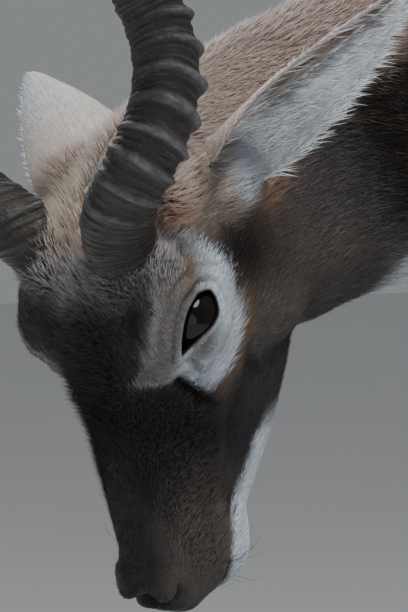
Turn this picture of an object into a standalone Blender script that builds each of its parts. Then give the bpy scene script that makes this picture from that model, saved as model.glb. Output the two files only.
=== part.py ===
"""Adult male blackbuck, life size, standing with its head lowered to feed.

It faces -Y, its left side is +X, and it stands on z = 0. The flesh is lofted from
stations along the trunk, legs and head, fused into one closed skin, then parted with
thin cuts into the pieces that a person would name. Horns, eyes, ears and hooves are
separate pieces that meet the flesh with a gap of 0.3 mm.
"""

import math

import bmesh
import bpy
from mathutils import Matrix, Vector

MM = 0.001
GAP = 0.0003

# The head's own frame: l is to the animal's left, f runs from the poll to the nose,
# u is out of the forehead. Its origin lies midway between the eyes. Sizes in mm.
HEAD_ORIGIN = Vector((0.0, -0.619, 0.5155))
HEAD_PITCH_DEG = 88.0

EYE_CENTRE = (33.0, 1.0, 1.1)
EYE_RADIUS = 19.0
EYE_OUT = (0.90, 0.03, 0.43)
EYE_LONG = (-0.285, 0.885, 0.37)  # from the rear corner of the lids to the front one
LID_HALF_LENGTH = 16.6
LID_HALF_HEIGHT = 8.4
LID_TAPER = 0.28  # how much the opening narrows towards its front corner
LID_POINTS = 6
SLIT = ((0.35, 0.98), (1.6, 1.08))  # depth in eye radii and width of the cut at its two ends

HORN_BASE = (27.7, -27.3, 34.0)
HORN_AXIS = (0.436, -0.823, 0.363)
HORN_LENGTH = 455.0
HORN_RADIUS = 17.6
HORN_TIP_RADIUS = 2.6
HORN_TURNS = 3.3
HORN_TIGHTEN = 0.2  # share of the turns that comes late, where the coils lie closer
HORN_SWING = 10.4
HORN_SWELL = 0.22  # how much wider the coils are near the middle
HORN_CLOSE = 0.7  # how much narrower they are at the tip
HORN_PHASE_DEG = 171.0
HORN_RINGS = 30
HORN_RING_SHARE = 0.86  # how far up the horn the rings reach
HORN_RING_DEPTH = 0.11
HORN_RING_FADE = 0.12  # share of the length over which the rings die away
HORN_SIDES = 10
HORN_ROOT = 0.03  # share of its length that is sunk in the head before it is cut
HORN_LEAN = 0.28  # how far each ring leans over the back of the horn, in radii

EAR_LENGTH = 125.0
EAR_WALL = 1.6
EAR_STEPS = 12
EAR_SIDES = 8
# root of each ear, the direction of its axis and of the cup's mouth, with l to its own side,
# and how much the cup is widened
EARS = {
    1: {
        "name": "ear_left",
        "root": (42.0, -77.0, -14.0),
        "axis": (0.75, -0.629, -0.203),
        "mouth": (0.66, 0.70, 0.26),
        "wide": 1.0,
    },
    -1: {
        "name": "ear_right",
        "root": (51.0, -61.7, -10.6),
        "axis": (0.846, -0.440, -0.300),
        "mouth": (0.114, 0.70, -0.704),
        "wide": 1.28,
    },
}
# Along the ear: share of its length, radius of the cup's wall, half angle of the wall
EAR_STATIONS = (
    (0.00, 16.0, 118),
    (0.10, 19.0, 100),
    (0.22, 21.5, 80),
    (0.38, 24.0, 64),
    (0.55, 22.0, 56),
    (0.72, 17.5, 51),
    (0.86, 11.5, 48),
    (0.95, 7.5, 46),
    (1.00, 3.5, 45),
)
EAR_SPINE = 10.0  # how far the middle of the ear's back lies behind its axis at the root

NOSTRIL = {"place": (12.5, 132.0, -9.0), "radii": (3.2, 9.0, 4.2), "turn": 28}
# The mouth is a slot round the front of the muzzle, left shallow by a core inside it
MOUTH = {"corner": 76.0, "height": -42.0, "slot": 1.0, "core": (14.5, 34.0, 20.0), "core_place": 98.0}
MOUTH_REACH = (60.0, 100.0)  # the slot's half width and its length past the nose

CORONET = {"height": 0.027, "slope": -0.18}
CLAW = {
    "length": 0.052,
    "width": 0.0190,
    "split": 0.0009,
    "steps": 8,
    "flat": 0.30,
    "round": 0.7,
    "heel": 0.22,
}
# The claw's rings: height, how much shorter and narrower than the claw, and how far back
CLAW_SOLE = (0.0, 0.0, 0.001, -0.008)
CLAW_WALL = (0.009, 0.003, 0.0, -0.006)
CLAW_TOP = (None, 0.015, 0.001, 0.0)  # its height follows the coronet
FOOT_REACH = 0.045  # half the size of the block that trims the flesh of one foot

FOOT_SETS = {  # how far each foot stands back from its plain place
    ("front", 1): -0.030,
    ("front", -1): 0.025,
    ("hind", 1): 0.030,
    ("hind", -1): -0.025,
}

# Trunk and neck, from rump to poll: y, z, lean of the ring in degrees, rise, fall,
# half width, roundness above, roundness below
TRUNK = (
    (0.398, 0.676, 0, 0.034, 0.042, 0.028, 2.0, 2.0),
    (0.374, 0.670, 0, 0.078, 0.084, 0.060, 2.0, 2.0),
    (0.325, 0.664, 0, 0.114, 0.112, 0.086, 2.0, 2.0),
    (0.255, 0.660, 0, 0.131, 0.127, 0.100, 2.0, 2.0),
    (0.175, 0.655, 0, 0.137, 0.140, 0.107, 2.0, 2.1),
    (0.095, 0.645, 0, 0.143, 0.154, 0.115, 2.0, 2.1),
    (0.015, 0.635, 0, 0.150, 0.167, 0.121, 2.0, 2.1),
    (-0.065, 0.628, 0, 0.160, 0.177, 0.121, 1.9, 2.0),
    (-0.135, 0.628, 0, 0.168, 0.180, 0.112, 1.8, 2.0),
    (-0.200, 0.635, 2, 0.161, 0.176, 0.097, 1.8, 2.0),
    (-0.255, 0.638, 8, 0.142, 0.156, 0.083, 1.8, 2.0),
    (-0.310, 0.632, 16, 0.119, 0.126, 0.071, 1.9, 2.0),
    (-0.365, 0.622, 20, 0.102, 0.098, 0.062, 1.9, 2.0),
    (-0.430, 0.607, 19, 0.088, 0.078, 0.056, 2.0, 2.0),
    (-0.500, 0.590, 19, 0.081, 0.070, 0.052, 2.0, 2.0),
    (-0.555, 0.571, 23, 0.076, 0.068, 0.049, 2.0, 2.0),
    (-0.600, 0.550, 38, 0.063, 0.063, 0.045, 2.0, 2.0),
    (-0.622, 0.530, 60, 0.042, 0.050, 0.036, 2.0, 2.0),
)

# Legs from the body down: x, y, z, half width, half depth
FORELEG = (
    (0.066, -0.190, 0.700, 0.022, 0.040),
    (0.074, -0.215, 0.655, 0.030, 0.058),
    (0.083, -0.245, 0.600, 0.037, 0.060),
    (0.086, -0.242, 0.540, 0.038, 0.058),
    (0.082, -0.214, 0.485, 0.033, 0.051),
    (0.078, -0.210, 0.440, 0.0265, 0.038),
    (0.075, -0.214, 0.390, 0.0220, 0.0295),
    (0.073, -0.218, 0.340, 0.0182, 0.0232),
    (0.072, -0.222, 0.300, 0.0168, 0.0200),
    (0.072, -0.224, 0.272, 0.0188, 0.0218),
    (0.071, -0.221, 0.245, 0.0162, 0.0190),
    (0.071, -0.218, 0.215, 0.0126, 0.0158),
    (0.070, -0.217, 0.165, 0.0116, 0.0148),
    (0.070, -0.217, 0.120, 0.0128, 0.0160),
    (0.070, -0.219, 0.098, 0.0165, 0.0198),
    (0.070, -0.228, 0.075, 0.0148, 0.0165),
    (0.070, -0.241, 0.050, 0.0162, 0.0165),
    (0.070, -0.250, 0.030, 0.0190, 0.0190),
    (0.070, -0.254, 0.014, 0.0190, 0.0190),
)
HINDLEG = (
    (0.050, 0.290, 0.715, 0.030, 0.062),
    (0.068, 0.262, 0.655, 0.044, 0.094),
    (0.079, 0.230, 0.590, 0.046, 0.100),
    (0.082, 0.208, 0.525, 0.041, 0.078),
    (0.079, 0.214, 0.465, 0.033, 0.056),
    (0.075, 0.238, 0.410, 0.0265, 0.042),
    (0.072, 0.268, 0.360, 0.0210, 0.0320),
    (0.070, 0.297, 0.315, 0.0180, 0.0270),
    (0.069, 0.320, 0.280, 0.0190, 0.0290),
    (0.068, 0.322, 0.250, 0.0172, 0.0240),
    (0.068, 0.315, 0.215, 0.0140, 0.0182),
    (0.067, 0.308, 0.165, 0.0124, 0.0158),
    (0.067, 0.301, 0.118, 0.0136, 0.0168),
    (0.067, 0.299, 0.094, 0.0170, 0.0205),
    (0.067, 0.289, 0.072, 0.0150, 0.0166),
    (0.067, 0.276, 0.050, 0.0162, 0.0165),
    (0.067, 0.266, 0.030, 0.0190, 0.0190),
    (0.067, 0.262, 0.014, 0.0190, 0.0190),
)
LEG_TOP = 0.60  # above this height a leg doesn't swing with its foot
HOCK_POINT = {"place": (0.069, 0.345, 0.296), "radii": (0.011, 0.012, 0.024)}
# The two dew claws: apart, behind the fetlock, up, and their radii
DEW_CLAW = {"apart": 0.010, "behind": 0.017, "height": 0.079, "radii": (0.0055, 0.006, 0.009)}
FETLOCK_Y = {"front": -0.219, "hind": 0.299}
# Muscles under the skin, on both sides: centre, radii and turn about X in degrees
MUSCLES = (
    ((0.068, -0.205, 0.630), (0.036, 0.070, 0.125), -24),  # shoulder
    ((0.058, 0.268, 0.640), (0.046, 0.098, 0.130), 18),  # haunch
)
TAIL = (  # y, z, half width, half depth
    (0.360, 0.748, 0.022, 0.016),
    (0.385, 0.742, 0.021, 0.013),
    (0.404, 0.722, 0.020, 0.011),
    (0.414, 0.690, 0.021, 0.011),
    (0.418, 0.655, 0.022, 0.012),
    (0.418, 0.620, 0.020, 0.012),
    (0.416, 0.590, 0.012, 0.008),
    (0.414, 0.575, 0.004, 0.003),
)

# Head, in mm: f, top, bottom, half width, roundness above, roundness below
SKULL = (
    (-94, 12, -30, 20, 2.0, 2.0),
    (-80, 26, -42, 35, 2.0, 2.0),
    (-62, 36, -52, 42, 2.1, 2.0),
    (-44, 41, -58, 45, 2.3, 2.0),
    (-24, 43, -60, 47, 2.7, 2.0),
    (-5, 42, -58, 46, 2.9, 2.0),
    (13, 38, -54, 42, 2.9, 2.0),
    (31, 32, -51, 36, 2.7, 2.0),
    (50, 26, -46, 28.5, 2.2, 2.0),
    (70, 19, -42, 26, 2.2, 2.0),
    (90, 12, -39, 24.5, 2.2, 2.1),
    (108, 5, -37, 24, 2.2, 2.2),
    (122, -1, -35, 23.5, 2.2, 2.2),
    (133, -8, -32, 20, 2.2, 2.2),
    (140, -15, -28, 12, 2.0, 2.0),
)
JAW = (
    (-50, -30, -66, 20, 2.0, 2.0),
    (-32, -22, -80, 28, 2.0, 2.0),
    (-8, -22, -85, 28, 2.0, 2.0),
    (18, -24, -83, 24.5, 2.0, 2.0),
    (45, -26, -77, 21, 2.0, 2.0),
    (70, -27, -68, 19, 2.0, 2.0),
    (90, -28, -59, 18, 2.0, 2.2),
    (108, -30, -57, 17.5, 2.0, 2.2),
    (120, -33, -54, 15, 2.0, 2.2),
    (128, -38, -49, 9, 2.0, 2.0),
)
# Rounded masses of the head, on both sides: centre and radii
HEAD_MASSES = (
    ((33.0, 1.0, 1.1), (20.6, 20.6, 20.6)),  # lids over the eyeball
    ((33, -3, 8), (18, 30, 19)),  # orbit
    ((44.5, -5, 24.5), (14.5, 28, 14.5)),  # brow
    ((36, 11, 18), (13, 21, 12)),  # lower end of the brow
    ((26, -24, 34), (20, 20, 16)),  # horn pedicle
    ((27, -20, -46), (16, 34, 32)),  # cheek muscle
    ((13, 121, -12), (11, 17, 13)),  # nostril flare
    ((13, 108, -30), (11, 24, 11)),  # upper lip
    ((8, 104, -50), (11, 21, 8)),  # lower lip
    ((38, -62, -16), (17, 19, 19)),  # ear root
    ((32, -60, 13), (16, 22, 18)),  # crown
)

# Where the body is parted: a point on each plane and the way to the node beyond it
HEAD_CUT = ((0, -0.545, 0.580), (0, -0.935, -0.350))
NECK_CUT = ((0, -0.312, 0.632), (0, -0.940, -0.342))
KNEE_HEIGHT = {"front": 0.270, "hind": 0.272}
# The slanted planes that part each leg from the trunk: x and z low and high on the
# plane, then the y limits, each at the low and the high point
FORELEG_REGION = ((0.026, 0.440), (0.118, 0.590), (-0.325, -0.318), (-0.172, -0.205))
HINDLEG_REGION = ((0.016, 0.505), (0.120, 0.690), (0.122, 0.185), (0.450, 0.450))
LEG_SPLIT = 0.002

# The skin is fused from small cubes, then smoothed, less on the head and lower legs
VOXEL = 0.0026
SMOOTHINGS = 40
HEAD_SOFTNESS = 0.3
SOFT_FROM_HEIGHT = (0.36, 0.48)
SOFT_BEHIND_HEAD = (0.10, 0.15)
HEAD_REACH = 0.17
HEAD_TRIANGLES = 3800
BODY_TRIANGLES = 3600

COAT = {
    "fawn": (0.30, 0.20, 0.13),
    "dark": (0.07, 0.058, 0.05),
    "white": (0.72, 0.68, 0.62),
    "horn": (0.10, 0.092, 0.085),
    "eye": (0.012, 0.009, 0.008),
    "hoof": (0.035, 0.030, 0.027),
}


def clear_scene():
    for old in list(bpy.data.objects):
        bpy.data.objects.remove(old)


def make_material(name, colour, roughness):
    made = bpy.data.materials.new(name)
    made.use_nodes = True
    shader = made.node_tree.nodes["Principled BSDF"]
    shader.inputs["Base Color"].default_value = (*colour, 1.0)
    shader.inputs["Roughness"].default_value = roughness
    shader.inputs["Metallic"].default_value = 0.0
    return made


def add_object(name, bm):
    bmesh.ops.recalc_face_normals(bm, faces=bm.faces)
    mesh = bpy.data.meshes.new(name)
    bm.to_mesh(mesh)
    bm.free()
    made = bpy.data.objects.new(name, mesh)
    bpy.context.scene.collection.objects.link(made)
    return made


def applied(made):
    """Replaces the object's mesh by what its modifiers make of it."""
    graph = bpy.context.evaluated_depsgraph_get()
    graph.update()
    mesh = bpy.data.meshes.new_from_object(made.evaluated_get(graph))
    made.modifiers.clear()
    made.data = mesh
    return made


def head_frame():
    pitch = math.radians(HEAD_PITCH_DEG)
    f = Vector((0, -math.cos(pitch), -math.sin(pitch)))
    u = Vector((0, -math.sin(pitch), math.cos(pitch)))
    return Vector((1, 0, 0)), f, u


HEAD_L, HEAD_F, HEAD_U = head_frame()


def head_direction(l, f, u):
    return (HEAD_L * l + HEAD_F * f + HEAD_U * u).normalized()


def head_point(l, f, u):
    return HEAD_ORIGIN + (HEAD_L * l + HEAD_F * f + HEAD_U * u) * MM


def smooth_rows(rows, steps):
    """Rows between the given ones, on a curve that passes through each of them."""
    found = []
    last = len(rows) - 1
    for i in range(last):
        a, b, c, d = (rows[min(max(i + k, 0), last)] for k in (-1, 0, 1, 2))
        for s in range(steps):
            t = s / steps
            found.append(
                tuple(
                    q + 0.5 * t * (r - p + t * (2 * p - 5 * q + 4 * r - w + t * (3 * (q - r) + w - p)))
                    for p, q, r, w in zip(a, b, c, d)
                )
            )
    found.append(tuple(rows[-1]))
    return found


def rounded(value, power):
    return math.copysign(abs(value) ** (2 / power), value)


def add_ring(bm, centre, side, up, half_width, rise, fall, above, below, count):
    ring = []
    for k in range(count):
        turn = 2 * math.pi * k / count
        across, height = math.cos(turn), math.sin(turn)
        power, reach = (above, rise) if height > 0 else (below, fall)
        x = half_width * rounded(across, power)
        z = reach * rounded(height, power)
        ring.append(bm.verts.new(centre + side * x + up * z))
    return ring


def close_tube(bm, rings):
    """Walls between the rings, and a cap on each end."""
    for lower, upper in zip(rings, rings[1:]):
        count = len(lower)
        for k in range(count):
            n = (k + 1) % count
            bm.faces.new((lower[k], lower[n], upper[n], upper[k]))
    bm.faces.new(rings[0])
    bm.faces.new(rings[-1])


def add_trunk(bm):
    rings = []
    for y, z, lean, rise, fall, width, above, below in smooth_rows(TRUNK, 4):
        tilt = math.radians(lean)
        up = Vector((0, -math.sin(tilt), math.cos(tilt)))
        centre = Vector((0, y, z))
        rings.append(add_ring(bm, centre, Vector((1, 0, 0)), up, width, rise, fall, above, below, 40))
    close_tube(bm, rings)


def swing(z, foot_set):
    """How far back a leg lies at height z when its foot stands foot_set back."""
    return foot_set * min(1.0, max(0.0, 1 - z / LEG_TOP))


def leg_path(rows, side, foot_set):
    """Centre and half sizes along one leg, swung so that its foot stands foot_set back."""
    return [
        (Vector((side * x, y + swing(z, foot_set), z)), width, depth)
        for x, y, z, width, depth in smooth_rows(rows, 4)
    ]


def add_path_tube(bm, path, count):
    """A tube of oval rings that stand square to the path."""
    rings = []
    for k, (centre, width, depth) in enumerate(path):
        before, after = path[max(k - 1, 0)][0], path[min(k + 1, len(path) - 1)][0]
        along = (after - before).normalized()
        side = Vector((1, 0, 0))
        fore = along.cross(side).normalized()
        rings.append(add_ring(bm, centre, side, fore, width, depth, depth, 2.0, 2.0, count))
    close_tube(bm, rings)


def add_ball(bm, centre, radii, rotation=None, detail=3):
    matrix = Matrix.Translation(centre) @ (rotation or Matrix.Identity(4)) @ Matrix.Diagonal((*radii, 1))
    bmesh.ops.create_icosphere(bm, subdivisions=detail, radius=1, matrix=matrix)


def head_rotation():
    return Matrix((HEAD_L, HEAD_F, HEAD_U)).transposed().to_4x4()


def add_head_tube(bm, rows, count):
    rings = []
    for f, top, bottom, width, above, below in smooth_rows(rows, 4):
        middle = (top + bottom) / 2
        reach = (top - bottom) / 2 * MM
        centre = head_point(0, f, middle)
        rings.append(add_ring(bm, centre, HEAD_L, HEAD_U, width * MM, reach, reach, above, below, count))
    close_tube(bm, rings)


def add_head(bm):
    add_head_tube(bm, SKULL, 36)
    add_head_tube(bm, JAW, 28)
    for (l, f, u), radii in HEAD_MASSES:
        for side in (1, -1):
            add_ball(bm, head_point(side * l, f, u), [r * MM for r in radii], head_rotation())


def add_legs(bm):
    for (pair, side), foot_set in FOOT_SETS.items():
        rows = FORELEG if pair == "front" else HINDLEG
        add_path_tube(bm, leg_path(rows, side, foot_set), 20)
        if pair == "hind":
            x, y, z = HOCK_POINT["place"]
            add_ball(bm, Vector((side * x, y + swing(z, foot_set), z)), HOCK_POINT["radii"])
        z = DEW_CLAW["height"]
        y = FETLOCK_Y[pair] + DEW_CLAW["behind"] + swing(z, foot_set)
        for across in (-DEW_CLAW["apart"], DEW_CLAW["apart"]):
            add_ball(bm, Vector((side * rows[-1][0] + across, y, z)), DEW_CLAW["radii"])


def add_muscles(bm):
    for (x, y, z), radii, turn in MUSCLES:
        for side in (1, -1):
            add_ball(bm, Vector((side * x, y, z)), radii, Matrix.Rotation(math.radians(turn), 4, "X"))


def between(value, low, high):
    """0 below low, 1 above high, and in proportion between them."""
    return min(1.0, max(0.0, (value - low) / (high - low)))


def fused_flesh():
    """Trunk, head and legs as one closed skin, smoothed where the parts run together."""
    bm = bmesh.new()
    add_trunk(bm)
    add_muscles(bm)
    add_legs(bm)
    add_head(bm)
    flesh = add_object("flesh", bm)
    fuse = flesh.modifiers.new("fuse", "REMESH")
    fuse.mode = "VOXEL"
    fuse.voxel_size = VOXEL
    applied(flesh)
    soften = flesh.vertex_groups.new(name="soften")
    head = flesh.vertex_groups.new(name="head")
    body = flesh.vertex_groups.new(name="body")
    for v in flesh.data.vertices:
        from_head = (v.co - HEAD_ORIGIN).length
        above_legs = between(v.co.z, *SOFT_FROM_HEIGHT)
        behind_head = between(from_head, *SOFT_BEHIND_HEAD)
        soften.add([v.index], HEAD_SOFTNESS + (1 - HEAD_SOFTNESS) * above_legs * behind_head, "REPLACE")
        (head if from_head < HEAD_REACH else body).add([v.index], 1.0, "REPLACE")
    smooth = flesh.modifiers.new("smooth", "SMOOTH")
    smooth.factor = 0.5
    smooth.iterations = SMOOTHINGS
    smooth.vertex_group = "soften"
    return applied(flesh)


def triangle_count(target):
    return sum(len(p.vertices) - 2 for p in target.data.polygons)


def thinned(flesh):
    """Fewer triangles, but more of them on the head than on the rest."""
    corners = flesh.data.vertices
    head = sum(
        len(p.vertices) - 2
        for p in flesh.data.polygons
        if (corners[p.vertices[0]].co - HEAD_ORIGIN).length < HEAD_REACH
    )
    for group, left in (("body", head + BODY_TRIANGLES), ("head", HEAD_TRIANGLES + BODY_TRIANGLES)):
        thin = flesh.modifiers.new("thin", "DECIMATE")
        thin.ratio = left / triangle_count(flesh)
        thin.vertex_group = group
        thin.vertex_group_factor = 1.0
        applied(flesh)
    return flesh


def carve(target, cutter, operation="DIFFERENCE"):
    """Cuts the target by the cutter, which is then removed."""
    cut = target.modifiers.new("cut", "BOOLEAN")
    cut.operation = operation
    cut.solver = "EXACT"
    cut.object = cutter
    applied(target)
    bpy.data.objects.remove(cutter)
    return target


def copied(source, name):
    made = bpy.data.objects.new(name, source.data.copy())
    bpy.context.scene.collection.objects.link(made)
    return made


def swollen(source, by):
    """A copy of the object, a little larger all round."""
    made = copied(source, "swollen")
    grow = made.modifiers.new("grow", "DISPLACE")
    grow.strength = by
    grow.mid_level = 0.0
    return applied(made)


def keep_largest(target):
    """Leaves only the biggest closed surface of the object."""
    bm = bmesh.new()
    bm.from_mesh(target.data)
    bm.faces.ensure_lookup_table()
    left = set(bm.faces)
    shells = []
    while left:
        stack = [left.pop()]
        shell = list(stack)
        while stack:
            for edge in stack.pop().edges:
                for face in edge.link_faces:
                    if face in left:
                        left.remove(face)
                        stack.append(face)
                        shell.append(face)
        shells.append(shell)
    shells.sort(key=lambda shell: sum(face.calc_area() for face in shell))
    for shell in shells[:-1]:
        bmesh.ops.delete(bm, geom=shell, context="FACES")
    bm.to_mesh(target.data)
    bm.free()
    return target


def block(name, corners):
    """A closed solid from eight corners: four of one end, then four of the other."""
    bm = bmesh.new()
    points = [bm.verts.new(corner) for corner in corners]
    for face in ((0, 1, 2, 3), (7, 6, 5, 4), (0, 4, 5, 1), (1, 5, 6, 2), (2, 6, 7, 3), (3, 7, 4, 0)):
        bm.faces.new([points[k] for k in face])
    return add_object(name, bm)


def half_space(point, normal, reach=0.5):
    """A block that fills the side of a plane to which the normal points."""
    normal = Vector(normal).normalized()
    across = normal.orthogonal().normalized() * reach
    other = normal.cross(across)
    point = Vector(point)
    near = [point + across, point + other, point - across, point - other]
    return block("half_space", near + [corner + normal * reach * 2 for corner in near])


def parted(flesh, name, build_region, material):
    """Takes the region out of the flesh as a node of its own, a gap apart."""
    piece = copied(flesh, name)
    carve(piece, build_region(-GAP / 2), "INTERSECT")
    keep_largest(piece)
    carve(flesh, build_region(GAP / 2))
    keep_largest(flesh)
    finish(piece, material)
    return piece


def finish(piece, material):
    piece.data.materials.clear()
    piece.data.materials.append(material)
    piece.vertex_groups.clear()
    piece.data.shade_smooth()
    piece.data.set_sharp_from_angle(angle=math.radians(50))


def cut_plane(point, normal):
    """A region beyond a plane, moved back by the given amount."""
    normal = Vector(normal).normalized()
    return lambda grow: half_space(Vector(point) - normal * grow, normal)


def leg_region(bottom, top, y_low, y_high, side):
    """One leg: upright below the body, then out along a slanted plane through bottom and top."""
    slope = Vector((top[0] - bottom[0], 0, top[1] - bottom[1])).normalized()
    out = Vector((slope.z, 0, -slope.x))

    def build(grow):
        inner_x = LEG_SPLIT - grow
        low = Vector((bottom[0], 0, bottom[1])) - out * grow
        knee = low - slope * ((low.x - inner_x) / slope.x)
        high = Vector((top[0], 0, top[1])) + slope * 0.2 - out * grow
        ring = [(inner_x, -0.1), (knee.x, knee.z), (high.x, high.z), (high.x + 0.5, high.z), (0.9, -0.1)]
        bm = bmesh.new()
        ends = []
        for (y_at_low, y_at_high), away in ((y_low, -grow), (y_high, grow)):
            heights = [y_at_low, y_at_low, y_at_high, y_at_high, y_at_low]
            ends.append([bm.verts.new((side * x, y + away, z)) for (x, z), y in zip(ring, heights)])
        close_tube(bm, ends)
        return add_object("region", bm)

    return build


def parted_legs(flesh, material):
    for (pair, side) in FOOT_SETS:
        flank = "left" if side > 0 else "right"
        region = FORELEG_REGION if pair == "front" else HINDLEG_REGION
        leg = parted(flesh, f"leg_{pair}_{flank}_upper", leg_region(*region, side), material)
        knee = cut_plane((0, 0, KNEE_HEIGHT[pair]), (0, 0, -1))
        parted(leg, f"leg_{pair}_{flank}_lower", knee, material)
        finish(leg, material)


def add_eyes(head, material):
    """Socket, almond opening and ball of each eye."""
    for side, name in ((1, "eye_left"), (-1, "eye_right")):
        centre = head_point(side * EYE_CENTRE[0], EYE_CENTRE[1], EYE_CENTRE[2])
        out = head_direction(side * EYE_OUT[0], EYE_OUT[1], EYE_OUT[2])
        long = head_direction(side * EYE_LONG[0], EYE_LONG[1], EYE_LONG[2])
        long = (long - out * long.dot(out)).normalized()
        wide = out.cross(long)
        socket = bmesh.new()
        add_ball(socket, centre, [EYE_RADIUS * MM + GAP] * 3)
        carve(head, add_object("socket", socket))
        outline = []
        for k in range(-LID_POINTS, LID_POINTS):
            t = k / LID_POINTS
            outline.append((t, (1 - t * t) ** 0.75 * (1 - LID_TAPER * t)))
        outline += [(-t, -h) for t, h in outline]
        slit = bmesh.new()
        rings = []
        for depth, spread in SLIT:
            rings.append([
                slit.verts.new(
                    centre
                    + out * (depth * EYE_RADIUS * MM)
                    + long * (t * LID_HALF_LENGTH * spread * MM)
                    + wide * (h * LID_HALF_HEIGHT * spread * MM)
                )
                for t, h in outline
            ])
        close_tube(slit, rings)
        carve(head, add_object("slit", slit))
        ball = bmesh.new()
        add_ball(ball, centre, [EYE_RADIUS * MM] * 3)
        finish(add_object(name, ball), material)
    keep_largest(head)


def add_nostrils_and_mouth(head):
    for side in (1, -1):
        nostril = bmesh.new()
        l, f, u = NOSTRIL["place"]
        turn = head_rotation() @ Matrix.Rotation(math.radians(side * NOSTRIL["turn"]), 4, "Z")
        add_ball(nostril, head_point(side * l, f, u), [r * MM for r in NOSTRIL["radii"]], turn, 2)
        carve(head, add_object("nostril", nostril))
    corner, height, slot = MOUTH["corner"], MOUTH["height"], MOUTH["slot"] / 2
    wide, length = MOUTH_REACH
    ends = []
    for f in (corner, corner + length):
        for l, u in ((-wide, -slot), (wide, -slot), (wide, slot), (-wide, slot)):
            ends.append(head_point(l, f, height + u))
    mouth = block("mouth", ends)
    core = bmesh.new()
    radii = [r * MM for r in MOUTH["core"]]
    add_ball(core, head_point(0, MOUTH["core_place"], height), radii, head_rotation())
    carve(mouth, add_object("core", core))
    carve(head, mouth)
    keep_largest(head)


def horn_path(t, side):
    """Centre of the horn at a share t of its length: a helix about a leaning axis."""
    axis = head_direction(side * HORN_AXIS[0], HORN_AXIS[1], HORN_AXIS[2])
    first = (HEAD_L * side - axis * axis.dot(HEAD_L * side)).normalized()
    second = axis.cross(first) * side

    def swing(share):
        turned = HORN_TURNS * share * (1 - HORN_TIGHTEN + HORN_TIGHTEN * share)
        turn = math.radians(HORN_PHASE_DEG) + 2 * math.pi * turned
        swell = 1 + HORN_SWELL * math.sin(math.pi * share ** 2)
        reach = HORN_SWING * swell * (1 - HORN_CLOSE * share ** 3)
        return (first * math.cos(turn) + second * math.sin(turn)) * reach

    base = head_point(side * HORN_BASE[0], HORN_BASE[1], HORN_BASE[2])
    return base + (axis * (HORN_LENGTH * t) + swing(t) - swing(0)) * MM


def horn_radius(t):
    """Half thickness of the horn, with a ridge round it at each ring."""
    plain = HORN_TIP_RADIUS + (HORN_RADIUS - HORN_TIP_RADIUS) * (1 - t ** 1.7) ** 0.9
    fade = min(1.0, max(0.0, (HORN_RING_SHARE - t) / HORN_RING_FADE)) * min(1.0, 0.5 + t * 4)
    ridge = math.sin(math.pi * HORN_RINGS * t / HORN_RING_SHARE) ** 2
    return plain * (1 + HORN_RING_DEPTH * fade * (ridge - 0.5))


def add_horns(swollen_head, material):
    for side, name in ((1, "horn_left"), (-1, "horn_right")):
        bm = bmesh.new()
        steps = HORN_RINGS * 2 + 12
        shares = [-HORN_ROOT] + [k / steps for k in range(steps + 1)]
        rings = []
        for t in shares:
            at = max(t, 0.0)
            along = (horn_path(at + 0.002, side) - horn_path(at, side)).normalized()
            centre = horn_path(at, side) + along * (min(t, 0.0) * HORN_LENGTH * MM)
            across = along.cross(HEAD_U).normalized()
            upward = across.cross(along)
            radius = horn_radius(at) * MM
            lean = along * (HORN_LEAN * radius)
            ring = []
            for k in range(HORN_SIDES):
                turn = 2 * math.pi * k / HORN_SIDES
                offset = across * math.cos(turn) + upward * math.sin(turn)
                ring.append(bm.verts.new(centre + offset * radius - lean * math.sin(turn)))
            rings.append(ring)
        close_tube(bm, rings)
        horn = add_object(name, bm)
        carve(horn, copied(swollen_head, "root"))
        keep_largest(horn)
        finish(horn, material)


def ear_wall(row, side_turn, wall, frame):
    """A point of the ear's cup. side_turn runs from -1 to 1 across the back of the cup."""
    base, axis, back, across = frame
    radius, angle = row[1] - wall, math.radians(row[2])
    turn = side_turn * angle
    spine = EAR_SPINE * (1 - row[0]) - row[1]
    offset = back * (radius * math.cos(turn) + spine) + across * (radius * math.sin(turn))
    return base + (axis * (row[0] * EAR_LENGTH) + offset) * MM


def add_ears(swollen_head, material):
    for side, spec in EARS.items():
        axis = head_direction(side * spec["axis"][0], spec["axis"][1], spec["axis"][2])
        mouth = head_direction(side * spec["mouth"][0], spec["mouth"][1], spec["mouth"][2])
        back = -(mouth - axis * mouth.dot(axis)).normalized()
        l, f, u = spec["root"]
        base = head_point(side * l, f, u)
        frame = (base, axis, back, axis.cross(back) * spec["wide"])
        bm = bmesh.new()
        rings = []
        rows = smooth_rows(EAR_STATIONS, 6)
        for i in range(EAR_STEPS + 1):
            row = rows[round(i / EAR_STEPS * (len(rows) - 1))]
            turns = [-1 + 2 * j / EAR_SIDES for j in range(EAR_SIDES + 1)]
            outer = [ear_wall(row, turn, 0.0, frame) for turn in turns]
            inner = [ear_wall(row, -turn, EAR_WALL, frame) for turn in turns]
            rings.append([bm.verts.new(point) for point in outer + inner])
        close_tube(bm, rings)
        ear = add_object(spec["name"], bm)
        carve(ear, copied(swollen_head, "root"))
        keep_largest(ear)
        finish(ear, material)


def coronet_height(y, foot):
    """Height of the sloping line on which the flesh of a foot meets its claws."""
    return CORONET["height"] + CORONET["slope"] * (y - foot.y)


def claw_ring(bm, foot, side, spec):
    """Outline of one claw: straight on its inner edge, round on its outer one."""
    height, shorter, narrower, back = spec
    length, width = CLAW["length"] - shorter, CLAW["width"] - narrower
    points = []
    for k in range(CLAW["steps"] + 1):
        turn = math.pi * k / CLAW["steps"]
        taper = 1 - CLAW["heel"] * (1 + math.cos(turn)) / 2
        points.append((CLAW["split"] + width * math.sin(turn) ** CLAW["round"] * taper, -math.cos(turn) / 2))
    points += [(CLAW["split"], CLAW["flat"]), (CLAW["split"], -CLAW["flat"])]
    ring = []
    for x, along in points:
        y = foot.y + along * length + back
        z = coronet_height(y, foot) - GAP if height is None else height
        ring.append(bm.verts.new((foot.x + side * x, y, z)))
    return ring


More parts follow.
